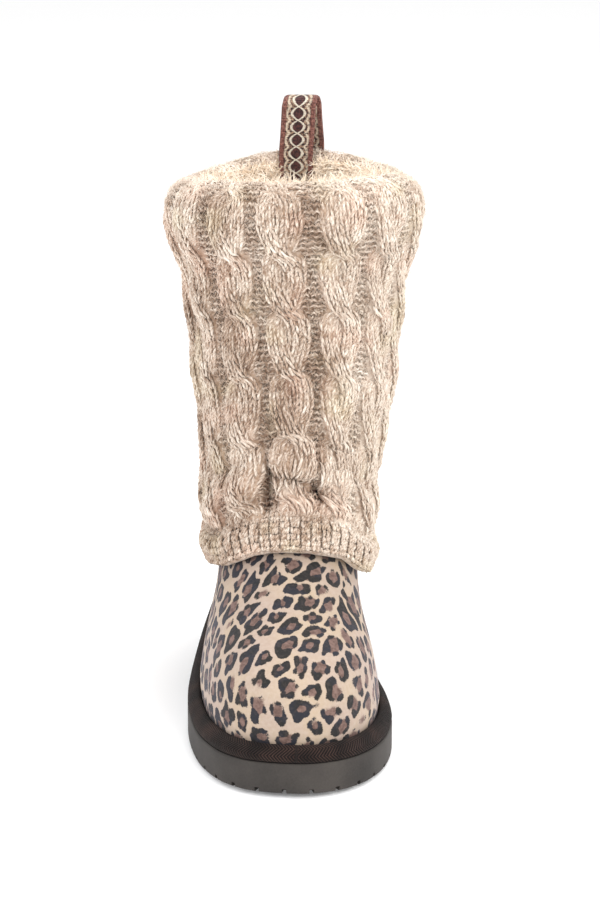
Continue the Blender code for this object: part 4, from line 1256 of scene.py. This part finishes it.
def lining():
    """The lining's wall, and its face as a grid of points with the normals that look into the boot."""
    columns, rows = 210, 88
    turn = even_turns(columns)
    levels = np.tile(np.linspace(2.0, TOP_ROW, rows), (columns, 1))
    point, normal = last_grid(turn, levels)
    raised = np.interp(turn, *np.array(RIM_LINE).T)[:, None]
    below = point[:, -1:, 2] - point[..., 2] + raised
    rise = np.linspace(0, 1, rows)[None]
    thick = THIN + PUFFED * smoothstep(FOLD_IN - 0.003, FOLD_IN + 0.003, below)
    lumps = lumpy(turn[:, None], rise, 0.0010, 0.0006) * smoothstep(FOLD_IN - 0.002, FOLD_IN + 0.004, below)
    face = point - normal * (UPPER_WALL + FIT_GAP + thick + lumps)[..., None]
    back = (point - normal * (UPPER_WALL + FIT_GAP))[:, np.linspace(0, rows - 1, 30).astype(int)]
    grid = np.concatenate([back, face[:, ::-1]], 1).transpose(1, 0, 2)
    made = grid_piece("fleece_lining", grid, fleece, closed_rows=True)
    weld(made)
    return made, face.transpose(1, 0, 2), -normal.transpose(1, 0, 2), below.T


lining_piece, lining_face, lining_normal, lining_below = lining()


TUFT_WIDTH, PILE_LENGTH, PILE_THICK = 0.007, 0.0070, 0.00056


def fleece_tufts(count, seed):
    """Fine pile on the lining, thickest near the opening, where it pushes up over the edge of the knit."""
    rng = np.random.default_rng(seed)
    face, normal = lining_face.reshape(-1, 3), lining_normal.reshape(-1, 3)
    down = lining_below.ravel() - FOLD_IN
    near = np.clip(1 - down / 0.05, 0.03, 1) ** 2 * (down > -0.001)
    picked = rng.choice(len(face), count // 2, p=near / near.sum())
    low = rng.uniform(CREST + 0.0075, SLEEVE_LENGTH, count - len(picked))
    over, over_normal = on_sleeve(rng.uniform(0, 1, len(low)), low)
    out = np.concatenate([normal[picked], over_normal])
    start = np.concatenate([face[picked], over + over_normal * 0.0014]) + rng.normal(0, 0.0007, (count, 3))
    tape_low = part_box("pull_loop")[0]
    aside = np.abs(start[:, 0] - AXIS_X - LOOP_X_INSIDE) > TAPE_WIDTH / 2
    clear = aside | (start[:, 1] < 0.06) | (start[:, 2] < tape_low.z + 0.007)
    start, out = start[clear], out[clear]
    ways = np.random.default_rng(seed + 1).normal(0, 1, (90, 3))
    right, back = np.floor(start[:, :2].T / TUFT_WIDTH).astype(int)
    out = unit(out + ways[right * 7 % 90 - back * 5 % 90] * 0.35)
    lean = rng.uniform(0.3, 1.1, (len(start), 1))
    return fibres("fleece_tufts", start, out, PILE_LENGTH, lean, PILE_THICK, fleece, seed)


tufts = fleece_tufts(13000, 503)
lining_flat = flat_size(lining_face)
print("lining, flat:", lining_flat)


# %% Insole
def insole():
    turn = even_turns(240)
    clear = BAND_WIDTH + UPPER_WALL + 4 * FIT_GAP
    top = FIT_GAP + INSOLE_THICKNESS

    def pile(points):
        s = points[:, 1] + SOLE_LENGTH / 2
        return seat(s) + top - INSOLE_CUP + lumpy(points[:, 0] * 9 + 0.5, s / SOLE_LENGTH, 0.0006, 0.0003)

    half_cup = INSOLE_CUP / 2
    section = ((0, FIT_GAP), (0, top - half_cup), (INSOLE_CUP, top), (4 * INSOLE_CUP, top - half_cup))
    rings = [ring(turn, clear + inset, seat, rise) for inset, rise in section]
    under = ladder(rings[0], lambda p: seat(p[:, 1] + SOLE_LENGTH / 2) + FIT_GAP, 3)
    over = ladder(rings[-1], pile, 22)
    made = grid_piece("fleece_insole", np.array(under[::-1] + rings + over), fleece)
    weld(made)
    return made


insole_piece = insole()
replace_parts(insole_piece, "insole")

# %% [markdown]
# ## Woven pull loop
# A jacquard tape is folded over the back of the collar as a loop, one leg inside and one outside. The tape is
# swept as threads, each following the wall at its own place, and its woven chain of diamonds is drawn by sums
# of the distance across and along it.


# %% Pull loop
def back_wall(x, down, stand):
    """A point of the back wall: x across, down below the rim, standing off the last."""
    turn = even_turns(250)
    column = np.nonzero(np.abs(turn - 0.5) < 0.085)[0]
    rim = last_grid(turn, np.full((len(turn), 1), float(TOP_ROW)))[0][len(turn) // 2, 0, 2]
    point, normal = last_grid(turn, level_at(turn, rim - down)[:, None])
    wall = (point[:, 0] + normal[:, 0] * stand)[column]
    order = np.argsort(wall[:, 0])
    return np.array([x, *(np.interp(x, wall[order, 0], wall[order, i]) for i in (1, 2))])


def loop_thread(inner_x, outer_x):
    """Points of one thread of the tape: up inside the collar, over the loop and down outside."""
    half = TAPE_THICKNESS / 2
    inner_stand = UPPER_WALL + KNIT_EASE + FOLD_WALL + half + 2 * FIT_GAP
    lying = KNIT_EASE + KNIT_WALL - STITCH_DEPTH + half
    rim = back_wall(AXIS_X, 0.0, 0.0)
    crest = rim[2] + KNIT_EASE + ROLL_CROWN
    inner_top = back_wall(inner_x, 0.0, -inner_stand)
    outer_top = back_wall(outer_x, 0.0, lying + ROLL_BULGE + 0.0015)
    middle, bow = rim[1] - inner_stand + LOOP_SET_BACK, (LOOP_GAP + TAPE_THICKNESS) / 2
    over = [
        (0.10, (inner_top[1] + middle - bow) / 2, crest + 0.28 * LOOP_RISE),
        (0.20, middle - 1.05 * bow, crest + 0.62 * LOOP_RISE),
    ]
    for turn in np.linspace(0, 1, 9):
        angle = math.pi * (1 - turn)
        top = crest + LOOP_RISE - half - bow * (1 - math.sin(angle))
        over.append((0.25 + 0.5 * turn, middle + bow * math.cos(angle), top))
    over += [
        (0.80, middle + 1.15 * bow, crest + 0.62 * LOOP_RISE),
        (0.90, (outer_top[1] + middle + bow) / 2, crest + 0.34 * LOOP_RISE),
        (1.00, outer_top[1] - 2 * FIT_GAP, crest + 0.06 * LOOP_RISE),
    ]
    points = [back_wall(inner_x, down * LOOP_LEG_INSIDE, -inner_stand) for down in (1.0, 0.5)]
    points += [inner_top, (inner_x, inner_top[1] - FIT_GAP, crest)]
    points += [(inner_x + (outer_x - inner_x) * turn, y, z) for turn, y, z in over]
    points += [outer_top]
    for down, rolled, raised in ((0.5, 0.72, 0.0025), (0.93, 0.15, 0.0038), (1.0, 0.10, 0.0022)):
        points.append(back_wall(outer_x, down * LOOP_LEG_OUTSIDE, lying + rolled * ROLL_BULGE + raised))
    return np.array([tuple(point) for point in points])


LOOP_ROWS, FINE_ROWS, FACE = 150, 1200, 31


def pull_loop():
    places = (AXIS_X + LOOP_X_INSIDE, AXIS_X + LOOP_X_OUTSIDE)
    threads = [loop_thread(*(x + u * TAPE_WIDTH / 2 for x in places)) for u in np.linspace(-1, 1, 5)]
    path = np.array([spline(thread, np.linspace(0, len(thread) - 1, FINE_ROWS)) for thread in threads])
    pick, length = evened(path[2], LOOP_ROWS, np.arange(FINE_ROWS))
    path = path[:, pick[:, 0].astype(int)]
    ahead = np.gradient(path[:, :, 1:], axis=1)
    ahead /= np.hypot(*ahead.T).T[..., None]
    out = np.stack([0 * ahead[..., 0], -ahead[..., 1], ahead[..., 0]], -1)
    across = np.concatenate([np.linspace(-1, 1, FACE), np.linspace(1, -1, FACE)[1:-1]])
    sides = np.concatenate([np.ones(FACE), -np.ones(FACE - 2)])
    stand = (1 - np.abs(across) ** 10) * sides * TAPE_THICKNESS / 2
    place = (across + 1) * 2
    low = np.minimum(place.astype(int), 3)
    t = (place - low)[:, None, None]
    points = path[low] * (1 - t) + path[low + 1] * t
    outward = out[low] * (1 - t) + out[low + 1] * t
    points = (points + outward * stand[:, None, None]).transpose(1, 0, 2)
    ends = [points[row].mean(1, keepdims=True).repeat(len(across), 1) for row in (slice(1), slice(-1, None))]
    grid = np.concatenate([ends[0], points, ends[1]])
    along = np.concatenate([[0], np.linspace(0, length, LOOP_ROWS), [length]])[:, None].repeat(len(across), 1)
    across = np.tile(across * TAPE_WIDTH / 2, (len(grid), 1))
    made = grid_piece("tape_loop", grid, jacquard, turned=True, across=across, along=along)
    weld(made)
    return made, length


jacquard = Finish("woven_jacquard", "woven_tape", roughness=0.85, sheen_weight=0.15)
across, along = jacquard.attribute("across"), jacquard.attribute("along")
DIAMOND = 0.0075
side = across.math("ABSOLUTE")
rough = jacquard.noise(1500, 2) * 0.0008 - 0.0004
sweep = (along * (2.0 / DIAMOND)).math("PINGPONG", 1.0)
swell = sweep * (2.0 - sweep)
chain = (side + rough - swell * 0.0036).math("ABSOLUTE")
waves = (side + rough - swell * 0.0020 - 0.0044).math("ABSOLUTE")
field = (side - swell * 0.0036).step(0.0, 0.0008) * (1.0 - side.step(0.0060, 0.0072))
cream_line = 1.0 - chain.step(0.00050, 0.00095)
tan_line = (1.0 - waves.step(0.00045, 0.00110)) * field
rib = (across * 7400).math("SINE") + (along * 5200).math("SINE") * 0.5
speck = jacquard.noise(900, 3)
heart = jacquard.mix(speck.step(0.4, 0.6), paint(50, 20, 20), paint(92, 46, 42))
border = jacquard.mix(speck.step(0.35, 0.65), paint(96, 48, 40), paint(156, 102, 88))
ground = jacquard.mix(side.step(0.0062, 0.0074), heart, border)
ground = jacquard.mix(field * speck.step(0.44, 0.60) * 0.75, ground, paint(200, 166, 136))
ground = jacquard.mix(tan_line * speck.step(0.25, 0.50), ground, paint(232, 212, 188))
jacquard.set(base_color=jacquard.mix(cream_line, ground, paint(240, 228, 208)))
jacquard.bump(rib * 0.35 + cream_line * 1.0 + tan_line * 0.6 + speck * 0.5, 0.0007, 1.0)
loop_piece, loop_length = pull_loop()
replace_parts(loop_piece, "pull_loop")
print("loop tape, flat:", (TAPE_WIDTH, round(float(loop_length), 3)))
